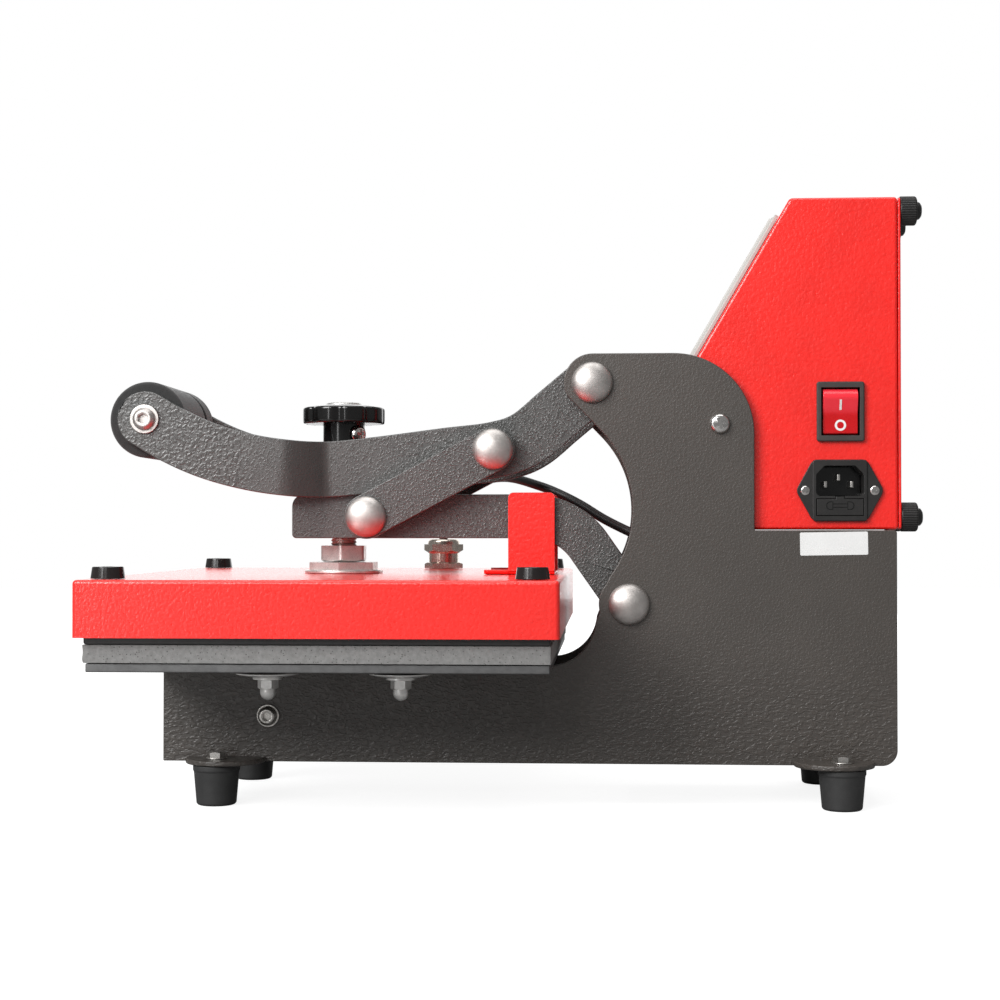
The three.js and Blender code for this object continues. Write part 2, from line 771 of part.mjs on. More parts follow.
piece("control_box_shell", boxShell(), redPaint);
piece("control_box_rear_cover", rearCover(), redPaint);
for (const [level, z] of [["bottom", THUMB_SCREW.z[0]], ["top", THUMB_SCREW.z[1]]])
  for (const [side, x] of [["right", THUMB_SCREW.x], ["left", -THUMB_SCREW.x]])
    piece(`thumb_screw_${level}_${side}`, thumbScrew(), blackPlastic).position.set(x, 0, z);

piece("controller_bezel", controllerBezel(), greyPlastic, panelGroup);
piece("controller_board", block([-27, 27], [-53, 53], [-9, -7.4]), circuitBoard, panelGroup);
BUTTON_X.forEach((x, i) => {
  const button = turnedZ([[0, -5.5], [5, -5.5], [5, 3.7], [4.4, 4.2], [0, 4.3]], 14);
  piece(`panel_button_${i + 1}`, button, blackPlastic, panelGroup).position.set(x, BUTTON_Y, 0);
});

piece(
  "heater_relay",
  join(
    block([-36.8, -13], [150, 208], [BOX_Z[0] + BOX_WALL + GAP, 184]),
    block([-34, -16], [154, 163], [183, 190]),
    block([-34, -16], [195, 204], [183, 190]),
  ),
  blackPlastic,
);

// ---------------------------------------------------------------- power switch

const wallFace = BOX_HALF + GAP;
const ROCKER = { x: 38.5, radius: 13.6, halfWidth: 10.9, tilt: 20 };

function switchBody() {
  const [y, z] = SWITCH;
  const around = (dy, dz, span) => block(span, [y - dy, y + dy], [z - dz, z + dz]);
  const window = 13.9;
  return cut(
    join(
      sweptX(roundedRectangle(y, z, 27.4, 34.7, 1.5), [wallFace, wallFace + 2.4]),
      around(12.5, 15.4, [21, wallFace + 1]),
    ),
    around(11.1, window, [30.5, wallFace + 6]),
  );
}

// The rocker's outline in (X, Z) about its pivot: the lower half pressed in, the upper standing out.
function switchRocker() {
  const { radius, halfWidth, tilt } = ROCKER;
  const faceX = 1;
  const backX = -3;
  const end = (x) => THREE.MathUtils.radToDeg(Math.asin(Math.min(1, x / radius)));
  const s = Math.sin(rad(tilt));
  const reach = -faceX * s + Math.sqrt(faceX * faceX * (s * s - 1) + radius * radius);
  const topX = faceX + reach * s;
  const outlineXZ = [
    [faceX, 0],
    ...arc(0, 0, radius, 90 - end(topX), 90 - end(backX)),
    ...arc(0, 0, radius, 270 + end(backX), 270 + end(faceX)),
  ];
  const points = outlineXZ.map(([x, z]) => [x, -z]);
  return sweptZ(points, [-halfWidth, halfWidth])
    .rotateX(Math.PI / 2)
    .translate(ROCKER.x, SWITCH[0], SWITCH[1]);
}

piece("switch_body", switchBody(), blackPlastic);
piece("switch_rocker", switchRocker(), redPlastic);

// ---------------------------------------------------------------- power inlet with its fuse drawer

const DRAWER = { y: 13.3, z: [-14.3, -4.9], x: [16, 42] };

function powerInlet() {
  const [y, z] = INLET;
  const flange = [
    [-25.1, 0],
    [-16.5, -17.6],
    [16.5, -17.6],
    [25.1, 0],
    [16.5, 17.8],
    [-16.5, 17.8],
  ].map(([dy, dz]) => [y + dy, z + dz]);
  const socket = [
    [-13, -2.8],
    [13, -2.8],
    [13, 9],
    [8, 14.2],
    [-8, 14.2],
    [-13, 9],
  ].map(([dy, dz]) => [y + dy, z + dz]);
  const drawerSlot = block(
    [DRAWER.x[0] - GAP, wallFace + 5],
    [y - DRAWER.y - GAP, y + DRAWER.y + GAP],
    [z + DRAWER.z[0] - GAP, z + DRAWER.z[1] + GAP],
  );
  return cut(
    join(
      sweptX(flange, [wallFace, wallFace + 2.6]),
      block([13, wallFace + 1], [y - 14.3, y + 14.3], [z - 15.5, z + 15.7]),
    ),
    sweptX(socket, [25, wallFace + 5]),
    drawerSlot,
  );
}

piece("power_inlet", powerInlet(), blackPlastic);
piece(
  "fuse_drawer",
  join(
    block(
      DRAWER.x,
      [INLET[0] - DRAWER.y, INLET[0] + DRAWER.y],
      DRAWER.z.map((dz) => INLET[1] + dz),
    ),
    block([41, 43], [INLET[0] - 7, INLET[0] + 7], [INLET[1] - 7, INLET[1] - 5.3]),
  ),
  blackPlastic,
);

// ---------------------------------------------------------------- heater cable

// From the gland, over the arms and down between the side plates, then up into the control box.
function heaterCable() {
  const route = [
    [-138, -57.4, 150.2],
    [-138, -57.4, 160],
    [-136.5, -54, 171],
    [-130, -46, 181],
    [-118, -36, 188],
    [-101, -25.5, 191.8],
    [-83, -14.5, 193],
    [-66, -4, 191.6],
    [-52, 8, 187.9],
    [-42, 20.4, 183.3],
    [-36, 37, 175.1],
    [-34.3, 52.3, 165.7],
    [-33, 68.4, 157.6],
    [-28, 84, 150.4],
    [-19, 99, 145.2],
    [-9, 114, 143.4],
    [-2.5, 126, 147],
    [0, 133, 153],
    [0, 134, 160],
    [0, 134, 170],
  ].map((p) => new THREE.Vector3(...p));
  const path = new THREE.CatmullRomCurve3(route, false, "centripetal");
  const section = shapeOf(arc(0, 0, 2.9, 0, 315, 7));
  return new THREE.ExtrudeGeometry(section, { steps: 36, extrudePath: path });
}

piece("heater_cable", heaterCable(), cableJacket);

export default press;
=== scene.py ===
"""The looks of a closed clamshell heat press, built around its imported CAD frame.

Builders work in millimetres in the frame's own axes: +Z up, the operator at -Y, +X to the side
with the power switch. object_of() scales what they make to metres.
"""

import json
from math import atan2, ceil, copysign, cos, degrees, exp, pi, radians, sin, tan

import bmesh
import bpy
from mathutils import Matrix, Vector, noise


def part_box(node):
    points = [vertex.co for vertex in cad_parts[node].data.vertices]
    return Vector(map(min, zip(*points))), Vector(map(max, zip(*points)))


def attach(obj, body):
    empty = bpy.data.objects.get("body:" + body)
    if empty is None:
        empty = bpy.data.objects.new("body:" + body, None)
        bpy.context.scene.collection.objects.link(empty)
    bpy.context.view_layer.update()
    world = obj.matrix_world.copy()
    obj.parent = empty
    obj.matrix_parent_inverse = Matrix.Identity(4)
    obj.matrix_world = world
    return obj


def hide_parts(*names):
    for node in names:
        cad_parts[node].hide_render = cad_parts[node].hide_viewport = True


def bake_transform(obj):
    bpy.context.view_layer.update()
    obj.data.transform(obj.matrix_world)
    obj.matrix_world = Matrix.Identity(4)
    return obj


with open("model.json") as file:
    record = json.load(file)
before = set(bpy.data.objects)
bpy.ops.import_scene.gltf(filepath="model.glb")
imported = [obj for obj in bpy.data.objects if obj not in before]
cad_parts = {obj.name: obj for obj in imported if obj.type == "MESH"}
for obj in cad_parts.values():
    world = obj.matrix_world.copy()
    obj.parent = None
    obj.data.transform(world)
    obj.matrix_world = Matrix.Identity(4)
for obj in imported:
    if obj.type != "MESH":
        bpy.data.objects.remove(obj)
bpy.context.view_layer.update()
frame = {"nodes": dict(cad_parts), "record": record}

MM = 0.001
SLOTS = {part["node"]: part["material_slot"] for part in frame["record"]["subparts"]}
BODIES = {n: body for body, nodes in frame["record"]["behaviour"]["bodies"].items() for n in nodes}

# ---- dimensions shared with the CAD


def box_mm(node):
    """Lowest and highest corner of a CAD node in millimetres."""
    low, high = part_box(node)
    return low / MM, high / MM


def middle(node):
    low, high = box_mm(node)
    return (low + high) / 2


def pivot(node):
    """[Y, Z] of a round part that lies along X."""
    centre = middle(node)
    return centre.y, centre.z


def on_side(sign, span):
    """A span in X, mirrored for the left side."""
    return sorted(sign * x for x in span)


HANDLE_PIVOT = pivot("handle_pivot_shaft")
PLATEN_PIVOT = pivot("platen_pivot_shaft")
LINK_PIVOT = pivot("link_pin")
LINK_END = pivot("link_end_pin_right")
TAIL_PIN = pivot("spring_tail_pin")
GRIP_CENTRE = pivot("grip_tube")
STAY_BOLT = pivot("front_stay_bolt")
SPRING_ANCHOR = (99, 36)

PLATEN_ARM_X = (24, 29)
HANDLE_ARM_X = (29.5, 34.5)
OUTER_X = (39.5, 44)
HANDLE_JOG = 11.5
HANDLE_JOG_Y = (-137, -111)
PIVOT_GAP = 0.3
BED_NUT_X = 105

FRAME_BOTTOM = 23.3
LOW_BAR_TOP = 80
BOX_SEAT_Z = 158.8
COLUMN_BACK_Y = 139.6
FRAME_TOP = 261.7
BOX_SCREW = (119.7, 220.5)
SLOPE = 59.7
SIDES = {"right": 1, "left": -1}

# ---- outlines


def arc(u, v, radius, start, end, step=4):
    """Points on an arc, from one angle to another in degrees."""
    steps = max(2, ceil(abs(end - start) / step))
    angles = [radians(start + (end - start) * i / steps) for i in range(steps + 1)]
    return [(u + radius * cos(a), v + radius * sin(a)) for a in angles]


def circle(u, v, radius):
    return arc(u, v, radius, 0, 360, 6)[:-1]


def rounded_rectangle(u, v, width, height, radius):
    """A rectangle with round corners, counterclockwise."""
    points = []
    for su, sv, start in ((1, -1, -90), (1, 1, 0), (-1, 1, 90), (-1, -1, 180)):
        corner = (u + su * (width / 2 - radius), v + sv * (height / 2 - radius))
        points += arc(*corner, radius, start, start + 90, 15)
    return points


def stadium(a, b, radius):
    """A bar with round ends between two points."""
    angle = degrees(atan2(b[1] - a[1], b[0] - a[0]))
    return arc(*b, radius, angle - 90, angle + 90) + arc(*a, radius, angle + 90, angle + 270)


def softened(profile, radius, steps=4):
    """An open profile with each of its inner corners rounded, less where its lines are short."""
    points = [Vector(p) for p in profile]
    made = [tuple(points[0])]
    for before, corner, after in zip(points, points[1:], points[2:]):
        to_before, to_after = before - corner, after - corner
        reach = min(radius, 0.45 * to_before.length, 0.45 * to_after.length)
        start = corner + to_before.normalized() * reach
        end = corner + to_after.normalized() * reach
        for i in range(steps + 1):
            t = i / steps
            made.append(tuple(start * (1 - t) ** 2 + corner * 2 * t * (1 - t) + end * t * t))
    made.append(tuple(points[-1]))
    return made


def rounded_corners(points, radius):
    """A closed outline with each of its corners rounded."""
    seam = (Vector(points[-1]) + Vector(points[0])) / 2
    return softened([seam, *points, seam], radius, 6)[:-1]


def rod(radius, low, high, bore=0):
    """The profile of a rod, or of a ring if it has a bore."""
    return [(bore, low), (radius, low), (radius, high), (bore, high)]


def about(centre, reach):
    return centre - reach, centre + reach


def from_flat(angle):
    """The angle from the middle of the nearest of a hexagon's flats."""
    return (angle + pi / 6) % (pi / 3) - pi / 6


def catmull_rom(points, steps, power):
    """A smooth curve through points: centripetal at power 0.5, uniform at power 0."""
    points = [Vector(p) for p in points]
    ends = [2 * points[0] - points[1], *points, 2 * points[-1] - points[-2]]
    made = []
    for p0, p1, p2, p3 in zip(ends, ends[1:], ends[2:], ends[3:]):
        d0, d1, d2 = ((b - a).length ** power for a, b in ((p0, p1), (p1, p2), (p2, p3)))
        leaving = ((p1 - p0) / d0 - (p2 - p0) / (d0 + d1) + (p2 - p1) / d1) * d1
        arriving = ((p2 - p1) / d1 - (p3 - p1) / (d1 + d2) + (p3 - p2) / d2) * d1
        for i in range(steps):
            t = i / steps
            made.append(
                p1 * (2 * t**3 - 3 * t**2 + 1)
                + leaving * (t**3 - 2 * t**2 + t)
                + p2 * (3 * t**2 - 2 * t**3)
                + arriving * (t**3 - t**2)
            )
    return [*made, points[-1]]


# ---- mesh builders, in millimetres

PLACE = {
    "X": lambda u, v, w: Vector((w, u, v)),
    "Y": lambda u, v, w: Vector((u, w, v)),
    "Z": lambda u, v, w: Vector((u, v, w)),
}


def skin(bm, rows, closed=False):
    """Quads between rings of vertices. The last ring joins the first if it is closed."""
    pairs = list(zip(rows, rows[1:])) + ([(rows[-1], rows[0])] if closed else [])
    for a, b in pairs:
        for i in range(len(a)):
            j = (i + 1) % len(a)
            bm.faces.new((a[i], a[j], b[j], b[i]))


def closed_skin(bm, rows):
    """Rings of vertices with quads between them and a face at each end."""
    skin(bm, rows)
    bm.faces.new(rows[0])
    bm.faces.new(rows[-1])
    return bm


def prism(outline, span, axis="X", into=None):
    """An outline swept along an axis: (Y, Z) along X, (X, Z) along Y or (X, Y) along Z."""
    bm = into or bmesh.new()
    rows = [[bm.verts.new(PLACE[axis](u, v, w)) for u, v in outline] for w in span]
    return closed_skin(bm, rows)


def block(x, y, z, into=None):
    return prism([(x[0], y[0]), (x[1], y[0]), (x[1], y[1]), (x[0], y[1])], z, "Z", into)


def block_of(node):
    return block(*zip(*box_mm(node)))


def turned(profile, centre=(0, 0, 0), axis="Z", sides=72, swell=None, closed=False, into=None):
    """A profile of (radius, height) turned about an axis. swell(angle, radius, height) reshapes it."""
    bm = into or bmesh.new()
    rows = []
    for radius, height in profile:
        row = []
        for i in range(sides):
            angle = 2 * pi * i / sides
            r = swell(angle, radius, height) if swell else radius
            at = PLACE[axis](r * cos(angle), r * sin(angle), height)
            row.append(bm.verts.new(at + Vector(centre)))
        rows.append(row)
    skin(bm, rows, closed)
    return bm


def hexagon(flats, low, high, at, bore=0, chamfer=(True, True), turned_by=0, into=None):
    """A nut or bolt head: its corners are turned down at 30 degrees, as on the real thing."""
    inner, sides = flats / 2 * 0.97, 72
    slope = tan(radians(30))

    def across(angle, radius, _):
        corner = flats / 2 / cos(from_flat(angle + radians(turned_by)))
        return corner if radius > inner else min(radius, corner)

    bm = into or bmesh.new()
    profile = [(bore, low), (inner, low), (flats, low), (flats, high), (inner, high), (bore, high)]
    start = len(bm.verts)
    turned(profile, at, "Z", sides, across, closed=bore > 0, into=bm)
    bm.verts.ensure_lookup_table()
    for ring, sign, wanted in ((2, 1, chamfer[0]), (3, -1, chamfer[1])):
        for i in range(sides if wanted else 0):
            vertex = bm.verts[start + ring * sides + i]
            beyond = (vertex.co - Vector(at)).xy.length - inner
            vertex.co.z += sign * beyond * slope
    return bm


def tube(path, radius, sides):
    """A round tube with closed ends along a list of points."""
    bm = bmesh.new()
    normal = (path[1] - path[0]).orthogonal().normalized()
    rows = []
    for i, at in enumerate(path):
        along = (path[min(i + 1, len(path) - 1)] - path[max(i - 1, 0)]).normalized()
        normal = (normal - along * normal.dot(along)).normalized()
        across = along.cross(normal)
        angles = [2 * pi * k / sides for k in range(sides)]
        ring = [at + (normal * cos(a) + across * sin(a)) * radius for a in angles]
        rows.append([bm.verts.new(p) for p in ring])
    return closed_skin(bm, rows)


def moved(bm, matrix):
    bmesh.ops.transform(bm, matrix=matrix, verts=bm.verts[:])
    return bm


def object_of(name, bm):
    """A Blender object in metres from a mesh in millimetres."""
    bmesh.ops.remove_doubles(bm, verts=bm.verts[:], dist=1e-3)
    bmesh.ops.recalc_face_normals(bm, faces=bm.faces[:])
    bmesh.ops.scale(bm, vec=(MM, MM, MM), verts=bm.verts[:])
    mesh = bpy.data.meshes.new(name)
    bm.to_mesh(mesh)
    bm.free()
    made = bpy.data.objects.new(name, mesh)
    bpy.context.scene.collection.objects.link(made)
    return made


def settle(made):
    """Turns an object's modifiers into its mesh."""
    evaluated = made.evaluated_get(bpy.context.evaluated_depsgraph_get())
    mesh = bpy.data.meshes.new_from_object(evaluated)
    made.modifiers.clear()
    made.data = mesh


def combine(made, bm, operation):
    """A boolean step between an object and a mesh in millimetres."""
    tool = object_of("tool", bm)
    step = made.modifiers.new("tool", "BOOLEAN")
    step.operation = operation
    step.solver = "EXACT"
    step.object = tool
    settle(made)
    bpy.data.objects.remove(tool)


def cut(made, bm):
    combine(made, bm, "DIFFERENCE")


def join(made, bm):
    combine(made, bm, "UNION")


def round_edges(made, width, segments=3, angle=30):
    edges = made.modifiers.new("edges", "BEVEL")
    edges.width = width * MM
    edges.segments = segments
    edges.limit_method = "ANGLE"
    edges.angle_limit = radians(angle)
    edges.use_clamp_overlap = False
    settle(made)


def dress(made, look, body, sharp=38):
    """Gives a finished mesh its material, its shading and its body."""
    made.data.materials.clear()
    made.data.materials.append(look)
    made.data.shade_smooth()
    made.data.set_sharp_from_angle(angle=radians(sharp))
    made.modifiers.new("normals", "WEIGHTED_NORMAL").keep_sharp = True
    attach(made, body)
    return made


def piece(name, bm, look, body, bevel=0):
    """A finished piece that no CAD node has."""
    made = object_of(name, bm)
    if bevel:
        round_edges(made, bevel)
    return dress(made, look, body)


def replace(node, made, look=None, sharp=38):
    """Dresses a mesh that stands for a CAD node, on the node's body and in its material slot."""
    slot = SLOTS[node]
    dress(made, look or LOOKS[slot], BODIES[node], sharp)
    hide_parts(node)
    return made


def stand_in(node, bm, look=None, bevel=0, sharp=38):
    """A finished piece that stands for a CAD node."""
    made = object_of(f"{node}_fine", bm)
    if bevel:
        round_edges(made, bevel)
    return replace(node, made, look, sharp)


# ---- materials


class Look:
    """A material built from nodes round one Principled shader, in the object's own coordinates."""

    def __init__(self, name, **surface):
        self.material = bpy.data.materials.new(name)
        self.material.use_nodes = True
        self.tree = self.material.node_tree
        self.shader = self.tree.nodes["Principled BSDF"]
        self.feed(self.shader, surface)
        self.where = self.add("ShaderNodeTexCoord").outputs["Object"]

    def feed(self, node, inputs):
        for key, value in inputs.items():
            key = key.replace("_", " ")
            if isinstance(value, bpy.types.NodeSocket):
                self.tree.links.new(value, node.inputs[key])
            else:
                node.inputs[key].default_value = value

    def add(self, kind, settings=(), **inputs):
        node = self.tree.nodes.new(kind)
        for key, value in dict(settings).items():
            setattr(node, key, value)
        self.feed(node, inputs)
        return node

    def noise(self, size, detail=2.0, roughness=0.5, distortion=0.0, stretch=None):
        """Noise whose blobs are about size millimetres across."""
        node = self.add("ShaderNodeTexNoise", Vector=self.where, Scale=1 / (size * MM),
                        Detail=detail, Roughness=roughness, Distortion=distortion)
        if stretch:
            scaled = self.add("ShaderNodeMapping", Vector=self.where, Scale=stretch)
            self.tree.links.new(scaled.outputs["Vector"], node.inputs["Vector"])
        return node.outputs["Fac"]

    def cells(self, size, feature="F1", randomness=1.0):
        """Distance to the nearest of scattered points about size millimetres apart."""
        node = self.add("ShaderNodeTexVoronoi", {"feature": feature}, Vector=self.where,
                        Scale=1 / (size * MM), Randomness=randomness)
        return node.outputs["Distance"]

    def spread(self, value, low, high, to_low, to_high, smooth=False):
        """A value carried from one range to another, and held inside it."""
        kind = {"interpolation_type": "SMOOTHSTEP"} if smooth else {}
        node = self.add("ShaderNodeMapRange", kind, Value=value)
        ends = {"From Min": low, "From Max": high, "To Min": to_low, "To Max": to_high}
        self.feed(node, ends)
        return node.outputs["Result"]

    def step(self, value, low, high):
        """A smooth rise from 0 to 1."""
        return self.spread(value, low, high, 0.0, 1.0, True)

    def along(self, axis):
        return self.add("ShaderNodeSeparateXYZ", Vector=self.where).outputs[axis]

    def maths(self, operation, a, b):
        node = self.add("ShaderNodeMath", {"operation": operation})
        for socket, value in zip(node.inputs, (a, b)):
            if isinstance(value, bpy.types.NodeSocket):
                self.tree.links.new(value, socket)
            else:
                socket.default_value = value
        return node.outputs["Value"]

    def colours(self, value, *stops):
        """A value turned into colour by stops of (place, (red, green, blue))."""
        node = self.add("ShaderNodeValToRGB", Fac=value)
        ramp = node.color_ramp
        while len(ramp.elements) < len(stops):
            ramp.elements.new(0.5)
        for element, (place, colour) in zip(ramp.elements, stops):
            element.position = place
            element.color = (*colour, 1)
        return node.outputs["Color"]

    def tones(self, value, colour, *stops):
        """A value turned into darker and lighter shades of a colour by stops of (place, factor)."""
        return self.colours(value, *((place, tuple(c * f for c in colour)) for place, f in stops))

    def bump(self, height, depth, strength=1.0, after=None):
        """Bumps on top of earlier ones, as high as a number of millimetres or a socket's metres."""
        high = depth if isinstance(depth, bpy.types.NodeSocket) else depth * MM
        node = self.add("ShaderNodeBump", Height=height, Distance=high, Strength=strength)
        if after:
            self.tree.links.new(after, node.inputs["Normal"])
        return node.outputs["Normal"]

    def finish(self, colour=None, roughness=None, normal=None):
        given = {"Base Color": colour, "Roughness": roughness, "Normal": normal}
        self.feed(self.shader, {k: v for k, v in given.items() if v is not None})
        return self.material


def hammertone(name, colour, size, depth):
    """Paint that dries in a fine hammered pattern, thicker and coarser low down where it ran."""
    look = Look(name, Metallic=0.0, IOR=1.5, Specular_IOR_Level=0.7)
    low = look.spread(look.along("Z"), 0.045, 0.125, 1.0, 0.0, True)
    fine = look.step(look.noise(size, 2.0, 0.5, 0.5), 0.42, 0.62)
    runs = look.step(look.noise(size * 1.5, 1.0, 0.5, 0.6, (1, 0.6, 1.2)), 0.4, 0.62)
    hammered = look.add("ShaderNodeMix", Factor=low, A=fine, B=runs).outputs["Result"]
    part = look.maths("MULTIPLY", hammered, 0.3)
    rest = look.maths("MULTIPLY", look.noise(38, 2), 0.7)
    waves = look.bump(look.noise(size * 4, 1), depth)
    return look.finish(
        look.tones(look.maths("ADD", part, rest), colour, (0.36, 0.93), (0.5, 1.0), (0.66, 1.1)),
        look.spread(hammered, 0, 1, 0.46, 0.34),
        look.bump(hammered, look.spread(low, 0, 1, depth * MM, 0.2 * MM), after=waves),
    )


def powder_coat(name, colour):
    """Powder coat with a fine orange peel."""
    look = Look(name, Metallic=0.0, IOR=1.5, Coat_Weight=0.45, Coat_Roughness=0.14)
    peel = look.noise(1.9, 2, 0.5)
    look.feed(look.shader, {"Coat_Normal": look.bump(peel, 0.2, 0.9)})
    return look.finish(
        look.tones(look.noise(30, 2), colour, (0.35, 0.95), (0.5, 1.0), (0.65, 1.03)),
        look.spread(peel, 0.3, 0.7, 0.26, 0.38),
        look.bump(peel, 0.32, 0.9, look.bump(look.noise(0.8, 1), 0.03)),
    )


def metal(name, colour, roughness, grain=(1, 1, 1), grain_size=0.6, depth=0.01, metallic=1.0):
    """Bare or plated metal with a fine grain and faint stains."""
    look = Look(name, Metallic=metallic)
    lines = look.noise(grain_size, 3, 0.6, stretch=grain)
    return look.finish(
        look.tones(look.noise(7, 3, 0.6), colour, (0.35, 0.82), (0.6, 1.0)),
        look.spread(lines, 0.3, 0.7, roughness * 0.75, roughness * 1.25),
        look.bump(lines, depth, 0.6),
    )


def moulded(name, colour, roughness, size=0.5, depth=0.01, coat=0.0, dust=1.0):
    """Moulded plastic or rubber with a spark-eroded grain and some dust."""
    look = Look(name, Metallic=0.0, Coat_Weight=coat, Coat_Roughness=0.08)
    grain = look.noise(size, 2, 0.6)
    stops = (0.3, 1 - 0.15 * dust), (0.5, 1.0), (0.75, 1 + 0.25 * dust)
    return look.finish(
        look.tones(look.noise(9, 3, 0.6), colour, *stops),
        look.spread(grain, 0.3, 0.7, roughness * 0.85, min(1.0, roughness * 1.15)),
        look.bump(grain, depth, 0.7),
    )


def sponge(name, colour, speck, speck_size, fuzz):
    """Closed-cell foam or sponge: pores, dark specks and a soft sheen."""
    look = Look(name, Metallic=0.0, Roughness=0.95, Sheen_Weight=fuzz, Sheen_Roughness=0.5)
    pores = look.noise(0.55, 3, 0.7)
    specks = look.cells(speck_size)
    body = look.tones(look.noise(2.4, 3, 0.65), colour, (0.3, 0.82), (0.52, 1.0), (0.75, 1.15))
    mix = look.add("ShaderNodeMix", {"data_type": "RGBA"})
    look.tree.links.new(look.spread(specks, 0.12, 0.22, 0.8, 0.0, True), mix.inputs["Factor"])
    look.tree.links.new(body, mix.inputs[6])
    mix.inputs[7].default_value = (*speck, 1)
    normal = look.bump(pores, 0.12, 0.9, look.bump(look.noise(2.2, 2), 0.15, 0.6))
    return look.finish(mix.outputs[2], None, normal)


def wool(name, colour):
    look = Look(name, Metallic=0.0, Roughness=1.0)
    fibres = look.noise(0.8, 5, 0.8, 2.0, (1, 6, 3))
    tones = look.tones(fibres, colour, (0.35, 0.6), (0.65, 1.05))
    return look.finish(tones, normal=look.bump(fibres, 0.6))


def clear_red(name, colour):
    """The tinted plastic of the rocker: its upper half painted paler, a painted highlight where that
    half faces the light, and deep red below.
    """
    look = Look(name, Metallic=0.0, Coat_Weight=0.3, Coat_Roughness=0.1, IOR=1.49)
    middle_z = middle("switch_body").z * MM
    # Painted highlight: the upper half is painted paler than the lower.
    share = look.spread(look.along("Z"), middle_z - 0.003, middle_z + 0.003, 0.0, 0.8, True)
    share = look.maths("ADD", share, look.maths("MULTIPLY", look.noise(9, 1), 0.2))
    deep = tuple(c * 0.62 for c in colour)
    return look.finish(
        look.colours(share, (0.05, deep), (0.9, (colour[0], 0.03, 0.05))),
        look.spread(look.noise(0.4, 2), 0.3, 0.7, 0.2, 0.32),
        look.bump(look.noise(0.3, 1), 0.004, 0.5),
    )


def board_green(name):
    """Solder mask over a grid of tracks."""
    look = Look(name, Metallic=0.0, IOR=1.5)
    tracks = look.cells(1.8, "DISTANCE_TO_EDGE", 0.35)
    return look.finish(
        look.colours(tracks, (0.03, (0.03, 0.2, 0.07)), (0.12, (0.012, 0.08, 0.03))),
        look.spread(tracks, 0.0, 0.2, 0.25, 0.4),
        look.bump(tracks, 0.03),
    )


GREY = (0.064, 0.055, 0.048)
ARM_GREY = (0.059, 0.059, 0.056)
RED = (0.97, 0.022, 0.016)

LOOKS = {
    "grey_hammertone": hammertone("grey_hammertone", GREY, 1.3, 0.05),
    "red_powder_coat": powder_coat("red_powder_coat", RED),
    "satin_steel": metal("satin_steel", (0.62, 0.585, 0.56), 0.46, depth=0.003),
    "zinc_steel": metal("zinc_steel", (0.62, 0.60, 0.57), 0.3, (1, 1, 5)),
    "aluminium_plate": metal("aluminium_plate", (0.17, 0.17, 0.17), 0.5, (0.15, 0.15, 4), 0.5),
    "black_rubber": moulded("black_rubber", (0.030, 0.030, 0.030), 0.6, 0.4, 0.015),
    "black_plastic": moulded("black_plastic", (0.018, 0.017, 0.0165), 0.42, 0.45, 0.02),
    "grip_foam": sponge("grip_foam", (0.030, 0.030, 0.030), (0.02, 0.02, 0.02), 1.6, 0.25),
    "silicone_sponge": sponge("silicone_sponge", (0.232, 0.230, 0.225), (0.04, 0.038, 0.036), 1.9, 0.1),
    "insulation": wool("insulation", (0.66, 0.6, 0.46)),
    "red_rocker": clear_red("red_rocker", (0.95, 0.002, 0.006)),
    "grey_plastic": moulded("grey_plastic", (0.47, 0.455, 0.43), 0.45, dust=0.15),
    "circuit_board": board_green("circuit_board"),
    "cable_jacket": moulded("cable_jacket", (0.016, 0.016, 0.016), 0.38, 0.5, 0.02),
}
BUMPER_RUBBER = moulded("bumper_rubber", (0.012, 0.011, 0.011), 0.17, 0.5, 0.003)
KNOB_PLASTIC = moulded("knob_plastic", (0.005, 0.005, 0.005), 0.16, 0.8, 0.002, 0.1)
# The heat platen's dark coat, made darker still as painted shade for the shade under the cover.
PLATEN_COAT_AND_SHADE = moulded("platen_coat_and_shade", (0.035, 0.035, 0.035), 0.4, 0.5, 0.006)
WHITE_PRINT = moulded("white_print", (0.88, 0.88, 0.87), 0.5, 0.4, 0.004, dust=0.1)
DARK_GLASS = moulded("dark_glass", (0.012, 0.010, 0.012), 0.08, 2.0, 0.001, 1.0)
LIT_RED = moulded("lit_red", (0.75, 0.02, 0.02), 0.4)
NICKEL = metal("nickel", (0.72, 0.64, 0.56), 0.24, depth=0.004)
BRIGHT_ZINC = metal("bright_zinc", (0.74, 0.72, 0.70), 0.17, depth=0.002)
NUT_ZINC = metal("nut_zinc", (0.82, 0.79, 0.76), 0.32, (1, 1, 5), metallic=0.74)
SATIN_CAP = metal("satin_cap", (0.78, 0.77, 0.75), 0.42, depth=0.003)
SWITCH_GREY = moulded("switch_grey", (0.045, 0.039, 0.036), 0.6, 0.4, 0.015)
LABEL_PAPER = moulded("label_paper", (0.86, 0.86, 0.85), 0.7, 0.6, 0.003, dust=0.12)

for node_name, slot_name in SLOTS.items():
    node_mesh = frame["nodes"][node_name].data
    node_mesh.materials.clear()
    node_mesh.materials.append(LOOKS[slot_name])

# ---- frame


def side_plate_outline():
    back = box_mm("side_plate_right")[1].y
    front = box_mm("side_plate_right")[0].y
    shoulder, heel, brow, fillet = 46.8, 9, 16.7, 27.5
    return [
        (front, FRAME_BOTTOM),
        *arc(back - heel, FRAME_BOTTOM + heel, heel, -90, 0),
        *arc(back - 1.5, BOX_SEAT_Z - 1.5, 1.5, 0, 90, 30),
        (COLUMN_BACK_Y, BOX_SEAT_Z),
        *arc(COLUMN_BACK_Y - shoulder, FRAME_TOP - shoulder, shoulder, 0, 90),
        *arc(HANDLE_PIVOT[0] + 0.3, HANDLE_PIVOT[1] + 0.3, brow, 90, 208),
        *arc(3.8, 171.5, 65.5, 43, -36, 2),
        *arc(*PLATEN_PIVOT, 17.5, 140, 195),
        *arc(20.3, LOW_BAR_TOP + fillet, fillet, -5, -90),
        (front, LOW_BAR_TOP),
    ]


